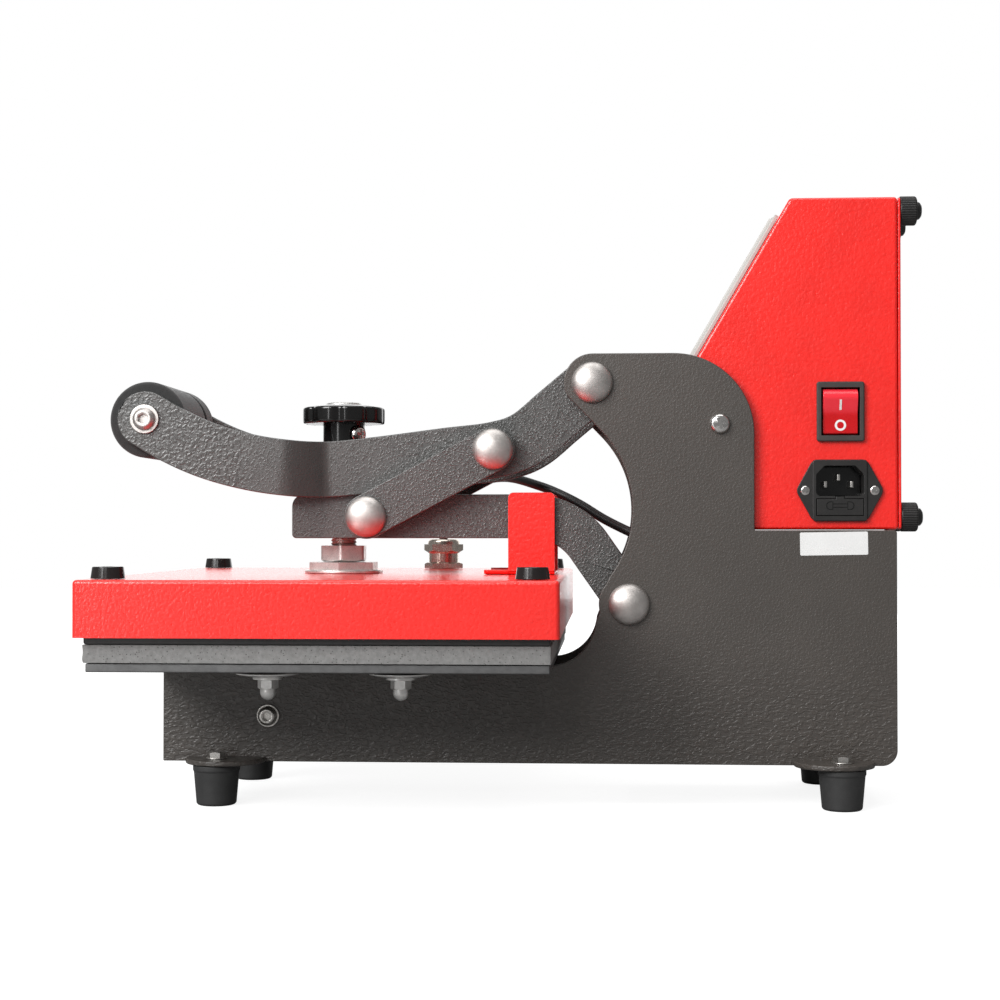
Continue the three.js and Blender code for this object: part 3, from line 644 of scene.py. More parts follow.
def foot_tab(foot_x, foot_y):
    """The lug bent out of the plate's lower edge, which the foot is bolted under."""
    radius, inward = 23, 3.5
    side = copysign(1, foot_x)
    y = foot_y - copysign(inward, foot_y)
    outer = foot_x - side * 8
    start = -90 if side > 0 else 90
    root = side * (OUTER_X[0] + 2.2)
    edge = arc(outer, y, radius, start, start + 180)
    return [(root, edge[0][1]), *edge, (root, edge[-1][1])]


def cross_head(name, radius, height):
    """A pan head with a cross cut into it, standing on the plane X = 0 and facing +X."""
    shank = radius * 0.55
    profile = [(0, -3), (shank, -3), (shank, 0), (radius, 0), (radius, height * 0.35)]
    profile += [(radius * 0.8, height * 0.85), (0, height)]
    made = object_of(name, turned(softened(profile, radius * 0.25), axis="X", sides=40))
    reach, width = radius * 0.55, radius * 0.16
    for across, up in ((reach, width), (width, reach)):
        cut(made, block((height * 0.4, height + 1), (-across, across), (-up, up)))
    return made


FACING = {
    "+X": Matrix.Identity(4),
    "-X": Matrix.Rotation(pi, 4, "Z"),
    "+Z": Matrix.Rotation(-pi / 2, 4, "Y"),
}


def phillips(name, centre, radius, height, body, facing="+X", turn=0):
    """A cross-head screw on a face whose outward normal is an axis."""
    made = cross_head(name, radius, height)
    place = Matrix.Translation(Vector(centre) * MM) @ FACING[facing]
    made.data.transform(place @ Matrix.Rotation(radians(turn), 4, "X"))
    return dress(made, BRIGHT_ZINC, body)


def socket_screw(bm, centre, radius, face, height, outward, key):
    """A button head with a hexagon socket, standing on a face at X, added to a mesh."""
    lip = face + outward * height
    floor = face + outward * height * 0.35
    profile = [(radius, face), (radius, face + outward * height * 0.45), (radius * 0.72, lip)]
    outside = softened([*profile, (key, lip)], radius * 0.22)
    turned(outside, (0, *centre), "X", 48, into=bm)
    rings = [(key, lip), (key * 0.9, lip - outward * 0.3), (key * 0.88, floor), (0, floor)]

    def six_sided(angle, r, _):
        return r * cos(pi / 6) / cos(from_flat(angle)) if r < key else r

    turned(rings, (0, *centre), "X", 48, six_sided, into=bm)


def bolt_ends(at, face, washer, head, soft, sides=48):
    """At each end a washer of (radius, bore, thickness) and a head of (radius, height, key)."""
    bm = bmesh.new()
    radius, bore, thick = washer
    for sign in (1, -1):
        low, high = sign * face, sign * (face + thick)
        ring = [(0, low), (radius, low), (radius, high), (bore, high)]
        turned(softened(ring, soft), (0, *at), "X", sides, into=bm)
        socket_screw(bm, at, head[0], high, head[1], sign, head[2])
    return bm


def frame_pieces():
    for side, sign in SIDES.items():
        plate = prism(side_plate_outline(), on_side(sign, OUTER_X))
        stand_in(f"side_plate_{side}", plate, bevel=0.6)
        for end in ("front", "rear"):
            foot(f"{end}_{side}")
        place, facing = (sign * OUTER_X[1], *BOX_SCREW), "+X" if sign > 0 else "-X"
        phillips(f"box_screw_{side}", place, 5.9, 3.6, "frame", facing, 20)
    stay_bolt()


def foot(corner):
    """A rubber foot, the frame's tab above it and the bolt that holds it there."""
    node = f"foot_{corner}"
    x, y, _ = middle(node)
    low, high = FRAME_BOTTOM, FRAME_BOTTOM + 3
    tab = prism(foot_tab(x, y), (low, high), "Z")
    paint = "grey_hammertone"
    piece(f"foot_tab_{corner}", tab, LOOKS[paint], "frame", bevel=0.9)
    top = box_mm(node)[1].z
    profile = [
        (0, 4), (5.2, 4), (5.6, 0.9), (6.8, 0.4), (7.6, 0), (10.4, 0), (11.5, 1.0),
        (13.1, 19.4), (13.6, 20.2), (13.6, top), (0, top),
    ]
    stand_in(node, turned(softened(profile, 0.6), (x, y, 0)))
    head = hexagon(10, high, high + 4.2, (x, y, 0), chamfer=(False, True))
    turned(softened(rod(6.2, high, high + 0.8), 0.3), (x, y, 0), sides=48, into=head)
    piece(f"foot_bolt_{corner}", head, LOOKS["zinc_steel"], "frame")


def stay_bolt():
    """The bolt's two socket heads on their washers, and the sleeve between the plates."""
    bm = bolt_ends(STAY_BOLT, OUTER_X[1] + PIVOT_GAP, (6.6, 4.5, 1.3), (5.7, 4.2, 2.9), 0.3)
    inner = OUTER_X[0] - PIVOT_GAP
    turned(softened(rod(8, -inner, inner), 0.5), (0, *STAY_BOLT), "X", 48, into=bm)
    stand_in("front_stay_bolt", bm)


# ---- bed


def cap_nut(name, x, y, top):
    """A wide dished washer, a small washer and an acorn nut under the bed."""
    dish = [(0, top), (18, top), (17.6, top - 0.9), (9, top - 2.5), (0, top - 2.5)]
    bm = turned(softened(dish, 0.5), (x, y, 0))
    small = top - 2.5
    turned(softened(rod(8.4, small, small - 1.3), 0.3), (x, y, 0), into=bm)
    nut_top = small - 1.3
    hexagon(10, nut_top - 5.2, nut_top, (x, y, 0), into=bm)
    neck, radius = nut_top - 5.0, 4.4
    turns = [i / 10 for i in range(15)]
    ball = [(radius * cos(a), neck - radius / 2 - radius * sin(a)) for a in turns]
    acorn = [(0, neck), (radius, neck), *ball, (0, neck - radius * 1.5)]
    turned(acorn, (x, y, 0), sides=40, into=bm)
    piece(name, bm, SATIN_CAP, "frame")


def ragged(made, low, high):
    """Moves the cut sides inwards by noise, more towards the operator, where the edge is torn."""
    edge = 1.2
    for vertex in made.data.vertices:
        at = vertex.co / MM
        inset_x = min(at.x - low.x, high.x - at.x)
        inset_y = min(at.y - low.y, high.y - at.y)
        if min(inset_x, inset_y) > edge:
            continue
        wave = noise.noise(Vector((at.x, at.y, 0)) / 9) + 0.6 * noise.noise(at / 3)
        torn = max(0.0, 1 - (at.y - low.y) / 14)
        depth = 0.35 + 0.3 * wave + torn * (0.6 + 0.8 * noise.noise(at / 5 + Vector((7, 7, 7))))
        push = Vector((0, 0, 0))
        if inset_x < edge:
            push.x = -copysign(max(0.0, depth), at.x)
        if at.y > high.y - edge:
            depth += 1.3
        if inset_y < edge:
            push.y = copysign(max(0.0, depth), (low.y + high.y) / 2 - at.y)
        vertex.co += push * MM


def bed_pieces():
    for end in ("front", "rear"):
        node = f"bed_bracket_{end}"
        low, high = box_mm(node)
        centre = middle(node)
        outline = rounded_rectangle(centre.x, centre.y, high.x - low.x, high.y - low.y, 6)
        stand_in(node, prism(outline, (low.z, high.z), "Z"), bevel=0.5)
        for side, sign in SIDES.items():
            cap_nut(f"bed_nut_{end}_{side}", sign * BED_NUT_X, centre.y, low.z)
    stand_in("bed_plate", block_of("bed_plate"), bevel=0.6)
    grid = block_of("silicone_pad")
    bmesh.ops.subdivide_edges(grid, edges=grid.edges[:], cuts=60, use_grid_fill=True)
    pad = object_of("silicone_pad_fine", grid)
    ragged(pad, *box_mm("silicone_pad"))
    round_edges(pad, 0.5, 2, 60)
    replace("silicone_pad", pad, sharp=60)


# ---- pivots, links and arms


def dome(bm, at, sign):
    """A domed cap on the outer face of a plate."""
    face = sign * (OUTER_X[1] + PIVOT_GAP)
    ball = [
        (12 * cos(radians(a)), face + sign * (0.3 + 6.4 * sin(radians(a))))
        for a in range(0, 91, 5)
    ]
    turned([(0, face), (11.7, face), *ball], (0, *at), "X", 96, into=bm)


def capped_shaft(node, arm_x):
    """A shaft with a dome at each end, and collars between a pair of arms and the outer plates."""
    at = pivot(node)
    bm = bmesh.new()
    face = OUTER_X[1] + 0.2
    for sign in (1, -1):
        dome(bm, at, sign)
    turned(rod(6, -face, face), (0, *at), "X", 48, into=bm)
    for sign in (1, -1):
        a, b = sign * (arm_x[1] + PIVOT_GAP), sign * (OUTER_X[0] - PIVOT_GAP)
        turned(softened(rod(9.5, a, b), 0.5), (0, *at), "X", 48, into=bm)
    stand_in(node, bm)


def link_end(node, sign):
    at = pivot(node)
    bm = bmesh.new()
    dome(bm, at, sign)
    inner, step, outer = PLATEN_ARM_X[1] + 2 * PIVOT_GAP, OUTER_X[0] - PIVOT_GAP, OUTER_X[1] + 0.2
    profile = [(0, inner), (8, inner), (8, step), (6, step), (6, outer), (0, outer)]
    turned([(r, sign * x) for r, x in softened(profile, 0.4)], (0, *at), "X", 48, into=bm)
    stand_in(node, bm)


def platen_arm_mesh(name, sign):
    bend_y, bend_z, inner, outer, start = 9.8, 125.5, 28.5, 54.5, 35
    dy, dz = PLATEN_PIVOT
    half, corner, brow, front = (outer - inner) / 2, 2.5, 7, box_mm("platen_arm_right")[0].y
    across = (cos(radians(start)), sin(radians(start)))
    main = [
        *arc(front + brow, bend_z + outer - brow, brow, 90, 180, 10),
        *arc(front + corner, bend_z + inner + corner, corner, 180, 270, 15),
        *arc(bend_y, bend_z, inner, 90, start, 2),
        (dy - half * across[0], dz - half * across[1]),
        (dy + half * across[0], dz + half * across[1]),
        *arc(bend_y, bend_z, outer, start, 90, 2),
    ]
    span = on_side(sign, PLATEN_ARM_X)
    made = object_of(name, prism(main, span))
    join(made, prism(circle(dy, dz, 16), span))
    join(made, prism(stadium(PLATEN_PIVOT, TAIL_PIN, 8), span))
    round_edges(made, 0.6, 3, 50)
    return made


def handle_line():
    """The middle line of a handle arm, from the grip to its pivot."""
    points = [
        GRIP_CENTRE, (-201, 214.8), (-182.5, 206.5), (-162.5, 200.4), (-140, 196.2), (-115.8, 194.6),
        (-85.2, 197), (-40.9, 202.6), LINK_PIVOT, (7, 212.5), (26, 228), HANDLE_PIVOT,
    ]
    return [Vector((*p, 0)) for p in points]


def handle_arm_mesh(sign):
    """A flat bar with round ends along the handle's line, its front part set further out."""
    half, tip_steps = 16.5, 14
    line = catmull_rom(handle_line(), 14, 0)
    ways = [(b - a).normalized() for a, b in zip([line[0], *line], [*line[1:], line[-1]])]
    first, last = (line[1] - line[0]).normalized(), (line[-1] - line[-2]).normalized()
    turns = [pi / 2 * i / tip_steps for i in range(1, tip_steps + 1)]
    tips = [(half * sin(a), half * cos(a)) for a in turns]
    stations = [
        *((line[0] - first * out, first, width) for out, width in reversed(tips)),
        *((at, along, half) for at, along in zip(line, ways)),
        *((line[-1] + last * out, last, width) for out, width in tips),
    ]

    bm = bmesh.new()
    start, end = HANDLE_JOG_Y
    inner, outer = HANDLE_ARM_X
    rows = []
    for at, along, width in stations:
        share = min(1.0, max(0.0, (at.x - start) / (end - start)))
        shift = HANDLE_JOG * (1 - share**1.6)
        ring = []
        for up, x in ((-1, inner), (1, inner), (1, outer), (-1, outer)):
            y, z = at.x - up * along.y * width, at.y + up * along.x * width
            ring.append(bm.verts.new((sign * (x + shift), y, z)))
        rows.append(ring)
    skin(bm, rows)
    return bm


def grip_pieces():
    end = HANDLE_ARM_X[0] + HANDLE_JOG - 0.7
    bore, radius, groove, seam = 11.3, 22.6, 19.5, -18.5
    profile = [
        (bore, -end), (radius - 1.2, -end), (radius, 1.6 - end),
        (radius, seam - 2.4), (groove, seam - 1.0), (groove, seam + 1.0), (radius, seam + 2.4),
        (radius, end - 1.6), (radius - 1.2, end), (bore, end),
    ]
    sleeve = turned(softened(profile, 1.0), (0, *GRIP_CENTRE), "X", 96, closed=True)
    stand_in("grip_sleeve", sleeve)

    face = HANDLE_ARM_X[1] + HANDLE_JOG
    bm = bolt_ends(GRIP_CENTRE, face + PIVOT_GAP, (8.6, 5, 1.4), (6.6, 3.6, 3.4), 0.4, 64)
    turned(rod(4, -face, face), (0, *GRIP_CENTRE), "X", 32, into=bm)
    stand_in("grip_bolt", bm)


def handle_paint():
    """Hammertone that is coarsest on the handle's front part, its colour darkened by painted shade
    where the handle is bent.
    """
    look = Look("handle_hammertone", Metallic=0.0, IOR=1.5, Specular_IOR_Level=0.9)
    along = look.along("Y")
    coarse = look.spread(along, -0.168, -0.138, 1.0, 0.0, True)
    rear = look.step(along, -0.115, -0.02)
    worms = look.step(look.noise(2.1, 0.8, 0.4, 0.6), 0.38, 0.64)
    grains = look.step(look.noise(1.3, 1.6, 0.5, 0.5), 0.46, 0.66)
    pattern = look.add("ShaderNodeMix", Factor=coarse, A=grains, B=worms).outputs["Result"]
    # Painted shade: the colour is darkened across the bend, where the bent face turns away from the
    # light.
    bend_shade_front = look.spread(along, -0.139, -0.128, 0.0, 0.3, True)
    bend_shade_rear = look.spread(along, -0.115, -0.110, 1.0, 0.0, True)
    painted_bend_shade = look.maths("MULTIPLY", bend_shade_front, bend_shade_rear)
    front_depth = look.spread(coarse, 0, 1, 0.05 * MM, 0.15 * MM)
    rear_depth = look.spread(rear, 0, 1, 0.0, 0.12 * MM)
    stops = (0.22, 0.66), (0.36, 0.92), (0.5, 1.0), (0.64, 1.1)
    return look.finish(
        look.tones(look.maths("SUBTRACT", look.noise(30, 2), painted_bend_shade), ARM_GREY, *stops),
        look.spread(pattern, 0, 1, 0.38, 0.27),
        look.bump(pattern, look.maths("ADD", front_depth, rear_depth)),
    )


def linkage_pieces():
    paint = handle_paint()
    for side, sign in SIDES.items():
        stand_in(f"handle_arm_{side}", handle_arm_mesh(sign), paint, bevel=0.7)
        bar = prism(stadium(LINK_END, LINK_PIVOT, 13), on_side(sign, OUTER_X))
        stand_in(f"link_bar_{side}", bar, paint, bevel=0.6)
        link_end(f"link_end_pin_{side}", sign)
        replace(f"platen_arm_{side}", platen_arm_mesh(f"platen_arm_{side}_fine", sign), paint)
    capped_shaft("handle_pivot_shaft", HANDLE_ARM_X)
    capped_shaft("platen_pivot_shaft", PLATEN_ARM_X)
    capped_shaft("link_pin", HANDLE_ARM_X)
    grip_pieces()
    stand_in("pressure_block", block_of("pressure_block"), bevel=0.8)


# ---- heating head

PLATEN_Y = -98.8
SCREW_AT = (0, -105.8, 0)
GLAND_AT = (-138, -57.4, 0)


def eased(inset, end, radius):
    """Levels that round the edge where a side at an inset meets an end face."""
    made = []
    for a in range(0, 91, 15):
        in_by, short_by = 1 - cos(radians(a)), 1 - sin(radians(a))
        made.append((inset + radius * in_by, end - radius * short_by))
    return made


def lofted(u, v, width, height, radius, levels, axis="Z"):
    """A rounded rectangle drawn through levels of (inset, place on the axis), with closed ends."""
    bm = bmesh.new()
    rows = []
    for inset, w in levels:
        corner = max(radius - inset, 0.3)
        outline = rounded_rectangle(u, v, width - 2 * inset, height - 2 * inset, corner)
        rows.append([bm.verts.new(PLACE[axis](a, b, w)) for a, b in outline])
    return closed_skin(bm, rows)


def platen_cover():
    low, high = box_mm("platen_cover")
    width, depth = high.x - low.x, high.y - low.y
    wall, lid = 1.6, 1.6
    levels = [(wall, high.z - lid), (wall, low.z), (0, low.z), *eased(0, high.z, 2.2)]
    made = object_of("platen_cover_fine", lofted(0, PLATEN_Y, width, depth, 2.5, levels))
    cut(made, turned(rod(8.6, low.z, high.z + 2), GLAND_AT))
    replace("platen_cover", made)


def cover_bumper(node):
    low, high = box_mm(node)
    at = middle(node)
    profile = [
        (0, low.z), (9.3, low.z), (8.4, high.z - 0.4), (8.0, high.z), (3.4, high.z),
        (3, high.z - 2.5), (0, high.z - 2.5),
    ]
    stand_in(node, turned(softened(profile, 0.3), (at.x, at.y, 0)), BUMPER_RUBBER)
    phillips(f"{node}_screw", (at.x, at.y, high.z - 2.5), 2.8, 1.5, "head", "+Z")


def anti_twist_bracket():
    """A folded sheet: a short base on the cover and an ear outside each platen arm."""
    low, high = box_mm("anti_twist_bracket")
    sheet, base_sheet, base_front, ear_front, corner, bend = 2, 1, -18, -3.7, 3, 1.8
    fold = low.z + sheet + 0.6
    base = [
        (-high.x, low.z + bend), *arc(-high.x + bend, low.z + bend, bend, 180, 270, 30),
        *arc(high.x - bend, low.z + bend, bend, -90, 0, 30), (high.x, fold),
        (high.x - sheet, fold), (high.x - sheet - 1, low.z + base_sheet),
        (sheet + 1 - high.x, low.z + base_sheet), (sheet - high.x, fold), (-high.x, fold),
    ]
    made = object_of("anti_twist_bracket_fine", prism(base, (base_front, high.y), "Y"))
    ear = [
        (ear_front, low.z + 1.6),
        (high.y, low.z + 1.6),
        *arc(high.y - corner, high.z - corner, corner, 0, 90, 15),
        *arc(ear_front + corner, high.z - corner, corner, 90, 180, 15),
    ]
    for sign in (1, -1):
        join(made, prism(ear, on_side(sign, (high.x - sheet, high.x))))
    round_edges(made, 0.35, 2, 50)
    replace("anti_twist_bracket", made)


def nut_stack():
    """The flange with its welded hexagon, and the lock nut that runs on the screw."""
    low, high = box_mm("platen_flange")
    bore = 8.2
    plate = rod(23.8, low.z, low.z + 1.8, bore)
    ring = softened([*plate, plate[0]], 0.5)[:-1]
    bm = turned(ring, SCREW_AT, sides=96, closed=True)
    hexagon(39, low.z + 1, high.z, SCREW_AT, bore, (False, False), 29, bm)
    stand_in("platen_flange", bm, NUT_ZINC)
    low, high = box_mm("lock_nut")
    nut = hexagon(26, low.z, high.z, SCREW_AT, bore, (True, False), 28)
    stand_in("lock_nut", nut, NUT_ZINC)


def cable_gland():
    """A barrel with a locking hexagon at its foot and a clamping nut at its top."""
    low, high = box_mm("cable_gland")
    base, bore = low.z + 5, 3.3
    barrel = [
        (bore, low.z), (8.2, low.z), (8.2, base + 1), (10.1, base + 1), (10.1, base + 10.4),
        (11, base + 10.6), (11, base + 16.2), (10.6, base + 18.5), (9.6, high.z - 0.4),
        (5.6, high.z), (bore, high.z - 1),
    ]
    bm = turned(softened([*barrel, barrel[0]], 0.6)[:-1], GLAND_AT, closed=True)
    hexagon(22.6, base, base + 4, GLAND_AT, bore=bore, chamfer=(False, True), into=bm)
    hexagon(23, base + 11, base + 16.2, GLAND_AT, bore=bore, chamfer=(True, False), into=bm)
    stand_in("cable_gland", bm, NICKEL)


def head_pieces():
    # The heat platen in its dark coat, darkened further as painted shade.
    stand_in("heat_platen", block_of("heat_platen"), PLATEN_COAT_AND_SHADE, bevel=1.0)
    platen_cover()
    for end in ("front", "rear"):
        for side in SIDES:
            cover_bumper(f"cover_bumper_{end}_{side}")
    anti_twist_bracket()
    nut_stack()
    cable_gland()


# ---- pressure screw and knob


def pressure_screw():
    """The screw, with its thread of 2 mm pitch."""
    low, high = box_mm("pressure_screw")
    radius, pitch, depth = 7.8, 2.0, 0.75
    steps = ceil((high.z - low.z) / (pitch / 8))
    levels = [low.z + (high.z - low.z) * i / steps for i in range(steps + 1)]

    def thread(angle, r, z):
        phase = (z / pitch - angle / (2 * pi)) % 1
        return r - depth * min(1.0, max(0.0, abs(2 * phase - 1) * 1.5 - 0.25)) if r > 1 else r

    profile = [(0, low.z), *[(radius, z) for z in levels], (0, high.z)]
    bm = turned(profile, SCREW_AT, sides=48, swell=thread)
    stand_in("pressure_screw", bm, sharp=60)


def pressure_knob():
    """A star knob with eight broad lobes on a round hub, its cap and its set screw."""
    bottom, rim_top, crown, hub_low, rim = 223.4, 233.3, 234.9, 199, 25.1
    profile = [
        (0, bottom), (rim - 0.9, bottom), (rim - 0.2, bottom + 0.7), (rim, bottom + 2.2),
        (rim, rim_top - 1.3), (rim - 0.3, rim_top - 0.4), (rim - 1.1, rim_top), (19, 234.2),
        (14, crown - 0.1), (0, crown),
    ]

    def lobed(angle, r, _):
        from_groove = (angle + pi / 8) % (pi / 4) - pi / 8
        depth = 2.1 * min(1.0, max(0.0, (r - 17) / 5))
        return r - depth * exp(-((from_groove / radians(7)) ** 2))

    bm = turned(softened(profile, 0.6, 3), SCREW_AT, sides=192, swell=lobed)
    hub_high, hub = bottom + 0.5, 12.75
    foot_edge = [(0, hub_low), (hub - 0.35, hub_low), (hub, hub_low + 0.8)]
    turned(softened([*foot_edge, (hub, hub_high), (0, hub_high)], 0.3), SCREW_AT, sides=96, into=bm)
    stand_in("pressure_knob", bm, KNOB_PLASTIC, sharp=50)
    cap = [(0, crown - 0.4), (11, crown - 0.4), (11, 235.6), (10, 236.2), (0, 236.5)]
    piece("pressure_knob_cap", turned(softened(cap, 0.4), SCREW_AT, sides=96), SATIN_CAP,
          "pressure_screw")
    knob_set_screw()


def knob_set_screw():
    """The cross-head screw that pins the knob to the screw, standing out of the hub."""
    height, reach, towards = 217, 14.2, radians(45)
    made = cross_head("knob_set_screw", 5.2, 3.0)
    centre = Vector(SCREW_AT) + Vector((0, 0, height))
    place = Matrix.Translation(centre * MM) @ Matrix.Rotation(towards, 4, "Z")
    made.data.transform(place @ Matrix.Translation(Vector((reach, 0, 0)) * MM))
    dress(made, BRIGHT_ZINC, "pressure_screw")


# ---- lift spring


def bending(node, line, radius, sides):
    """A tube in place of a CAD node, in the material of the node's slot."""
    made = object_of(f"{node}_fine", tube(line, radius, sides))
    made.data.materials.append(LOOKS[SLOTS[node]])
    made.data.shade_smooth()
    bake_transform(made)
    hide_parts(node)
    return made


def lift_spring():
    """A close coil with a hook at each end, between the lug on the floor and the arms' tails."""
    foot, head = Vector((0, *SPRING_ANCHOR)), Vector((0, *TAIL_PIN))
    length = (head - foot).length
    wire, coil, turns, hook = 1.1, 7.3, 12, 11
    low_hook = [(0, y, z) for y, z in arc(0, 0, 4.0, -200, 60, 20)]
    high_hook = [(0, -y, length - z) for y, z in arc(0, 0, 4.5, 60, -200, 20)]
    coils = []
    for i in range(turns * 20 + 1):
        a = 2 * pi * i / 20 + pi / 2
        z = hook + (length - 2 * hook) * i / (turns * 20)
        coils.append((coil * cos(a), coil * sin(a), z))
    bends = [*low_hook, (0, 3.6, 6.5), *coils, (0, 3.6, length - 6.8), *high_hook]
    line = catmull_rom(bends, 2, 0.5)
    tilt = Matrix.Rotation(-atan2(head.y - foot.y, head.z - foot.z), 3, "X")
    bending("lift_spring", [tilt @ p + foot for p in line], wire, 10)


# ---- control box

BOX_X = 38.75
BOX_FRONT_Y, BOX_BACK_Y = 81.2, 222.6
BOX_TOP_FRONT_Y = 160.8
BOX_LOW, BOX_HIGH = 159.1, 352.2
BOX_WALL = 1.5
SWITCH_AT = (189.4, 227.5)
INLET_AT = (188.9, 181.7)
CABLE_ENTRY_Y = 134
WALL_FACE = BOX_X + 0.3
PANEL_DOWN = 69.7
PANEL_Y = BOX_TOP_FRONT_Y - PANEL_DOWN * cos(radians(SLOPE))
PANEL_Z = BOX_HIGH - PANEL_DOWN * sin(radians(SLOPE))
ON_PANEL = Matrix.Translation((0, PANEL_Y, PANEL_Z)) @ Matrix.Rotation(radians(SLOPE), 4, "X")


def box_outline(inset, back):
    """The box's (Y, Z) outline, its walls moved inwards but its back given."""
    slope = radians(SLOPE)
    foot = BOX_HIGH - (BOX_TOP_FRONT_Y - BOX_FRONT_Y) * tan(slope)
    return [
        (BOX_FRONT_Y + inset, BOX_LOW + inset),
        (back, BOX_LOW + inset),
        (back, BOX_HIGH - inset),
        (BOX_TOP_FRONT_Y + inset * tan(slope / 2), BOX_HIGH - inset),
        (BOX_FRONT_Y + inset, foot - inset * tan((pi / 2 - slope) / 2)),
    ]


def control_box():
    made = object_of("control_box_shell_fine", prism(box_outline(0, BOX_BACK_Y), (-BOX_X, BOX_X)))
    round_edges(made, 2.0, 5)
    inner = BOX_X - BOX_WALL
    cut(made, prism(box_outline(BOX_WALL, BOX_BACK_Y + 5), (-inner, inner)))
    cut(made, moved(block((-29, 29), (-55, 55), (-4, 4)), ON_PANEL))
    wall = (inner - 2, BOX_X + 2)
    for (y, z), dy, low, high in ((SWITCH_AT, 12.8, 15.7, 15.7), (INLET_AT, 14.6, 15.8, 16)):
        cut(made, block(wall, about(y, dy), (z - low, z + high)))
    cut(made, turned(rod(4, -2, 3), (0, CABLE_ENTRY_Y, BOX_LOW), sides=40))
    replace("control_box_shell", made, sharp=30)
    rear_cover()
    for node in sorted(n for n in frame["nodes"] if n.startswith("thumb_screw")):
        thumb_screw(node)


def rear_cover():
    """A flat sheet with hooded louvres over its slots."""
    width, slots, top_slot, pitch = 76.8, 5, 312, 32.5
    y = BOX_BACK_Y + 0.3
    low, high = BOX_LOW + 0.4, BOX_HIGH - 0.4
    levels = [(0, y), *eased(0, y + 1.5, 0.5)]
    sheet = lofted(0, (low + high) / 2, width, high - low, 2, levels, "Y")
    made = object_of("control_box_rear_cover_fine", sheet)
    hood = [(1.2, 3.6), (2.4, 1.2), (2.7, -2.6), (2.2, -3.4), (1.2, -3.4)]
    for i in range(slots):
        z = top_slot - pitch * i
        join(made, prism([(y + dy, z + dz) for dy, dz in hood], (-24, 24)))
        cut(made, block((-23, 23), (y - 1, y + 1.6), (z - 6.4, z - 3.4)))
    round_edges(made, 0.3, 2, 35)
    replace("control_box_rear_cover", made)


def thumb_screw(node):
    """A ribbed screw head of black plastic with a domed end."""
    at = middle(node)
    face = BOX_BACK_Y + 2.1
    profile = [
        (0, face), (8.1, face), (8.5, face + 0.6), (8.5, face + 9), (7.7, face + 9.8),
        (5.3, face + 9.9), (5.0, face + 11.6), (3.4, face + 12.8), (0, face + 13.2),
    ]

    def ribbed(angle, r, height):
        knurled = 7.9 < r and face + 0.5 < height < face + 9.4
        return r - 0.22 * (1 - abs(cos(18 * angle))) * 2 if knurled else r

    bm = turned(softened(profile, 0.5), (at.x, 0, at.z), "Y", 144, ribbed)
    turned(rod(2.2, face - 9, face + 1), (at.x, 0, at.z), "Y", 32, into=bm)
    stand_in(node, bm, sharp=50)


# ---- controller panel

DISPLAY = (22, 50, 28)
BUTTONS = {1: -18, 2: 0, 3: 18}
BUTTON_Y = -30
SEGMENTS = {0: "abcdef", 1: "bc", 6: "afedcg", 8: "abcdefg"}


def seven_segment(bm, x, y, height, value, face):
    """A digit of bars on the display's glass."""
    half, bar = height * 0.27, height * 0.085
    mid = height / 2
    lean = 0.1
    ends = {
        "a": ((-half, mid), (half, mid)), "g": ((-half, 0), (half, 0)),
        "d": ((-half, -mid), (half, -mid)),
        "f": ((-half, 0), (-half, mid)), "b": ((half, 0), (half, mid)),
        "e": ((-half, -mid), (-half, 0)), "c": ((half, -mid), (half, 0)),
    }
    for letter in SEGMENTS[value]:
        a, b = (Vector(p) for p in ends[letter])
        along = (b - a).normalized()
        side = Vector((-along.y, along.x)) * bar
        a, b = a + along * bar * 1.25, b - along * bar * 1.25
        shape = [a - along * bar, a + side, b + side, b + along * bar, b - side, a - side]
        outline = [(x + p.x + lean * p.y, y + p.y) for p in reversed(shape)]
        prism(outline, (face - 0.15, face + 0.1), "Z", bm)


def panel_pieces():
    """Drawn in the panel's own frame: x along X, y up the slope, z out of the box."""
    width, length = 66, 118
    levels = [(0, 0.3), *eased(0, 2.6, 0.7), *eased(3.5, 4.4, 0.8)]
    made = object_of("controller_bezel_fine", lofted(0, 0, width, length, 5, levels))
    y, across, high = DISPLAY
    cut(made, lofted(0, y, across, high, 1, [(0, -1), (0, 6)]))
    for x in BUTTONS.values():
        cut(made, turned(rod(5.4, -1, 6), (x, BUTTON_Y, 0), sides=48))
    round_edges(made, 0.25, 2, 50)
    made.data.transform(Matrix.Translation(ON_PANEL.translation * MM) @ ON_PANEL.to_3x3().to_4x4())
    replace("controller_bezel", made)

    face = 3.2
    glass = lofted(0, y, across - 0.4, high - 0.4, 0.9, [(0, 0.6), (0, face)])
    piece("display_glass", moved(glass, ON_PANEL), DARK_GLASS, "frame")
    digits = bmesh.new()
    for row, height, values in ((y + 5.6, 9.0, (1, 8, 0)), (y - 6.8, 7.5, (0, 6, 0))):
        for i, value in enumerate(values):
            seven_segment(digits, (i - 1) * height * 0.86, row, height, value, face)
    piece("display_digits", moved(digits, ON_PANEL), LIT_RED, "frame")

    under, over = 4.08, 4.34
    for number, x in BUTTONS.items():
        body = f"panel_button_{number}"
        profile = softened([(0, -5.5), (5, -5.5), (5, 3.7), (4.4, 4.2), (0, 4.3)], 0.6)
        stand_in(body, moved(turned(profile, (x, BUTTON_Y, 0), sides=48), ON_PANEL))
        if number == 2:
            mark = turned(rod(1.9, under, over, 1.3), (x, BUTTON_Y, 0), sides=32, closed=True)
        else:
            up = 1 if number == 3 else -1
            low_y, high_y = BUTTON_Y - up * 1.2, BUTTON_Y + up * 1.9
            mark = prism([(x - 2, low_y), (x + 2, low_y), (x, high_y)], (under, over), "Z")
        piece(f"{body}_mark", moved(mark, ON_PANEL), WHITE_PRINT, body)


# ---- power switch and mains inlet


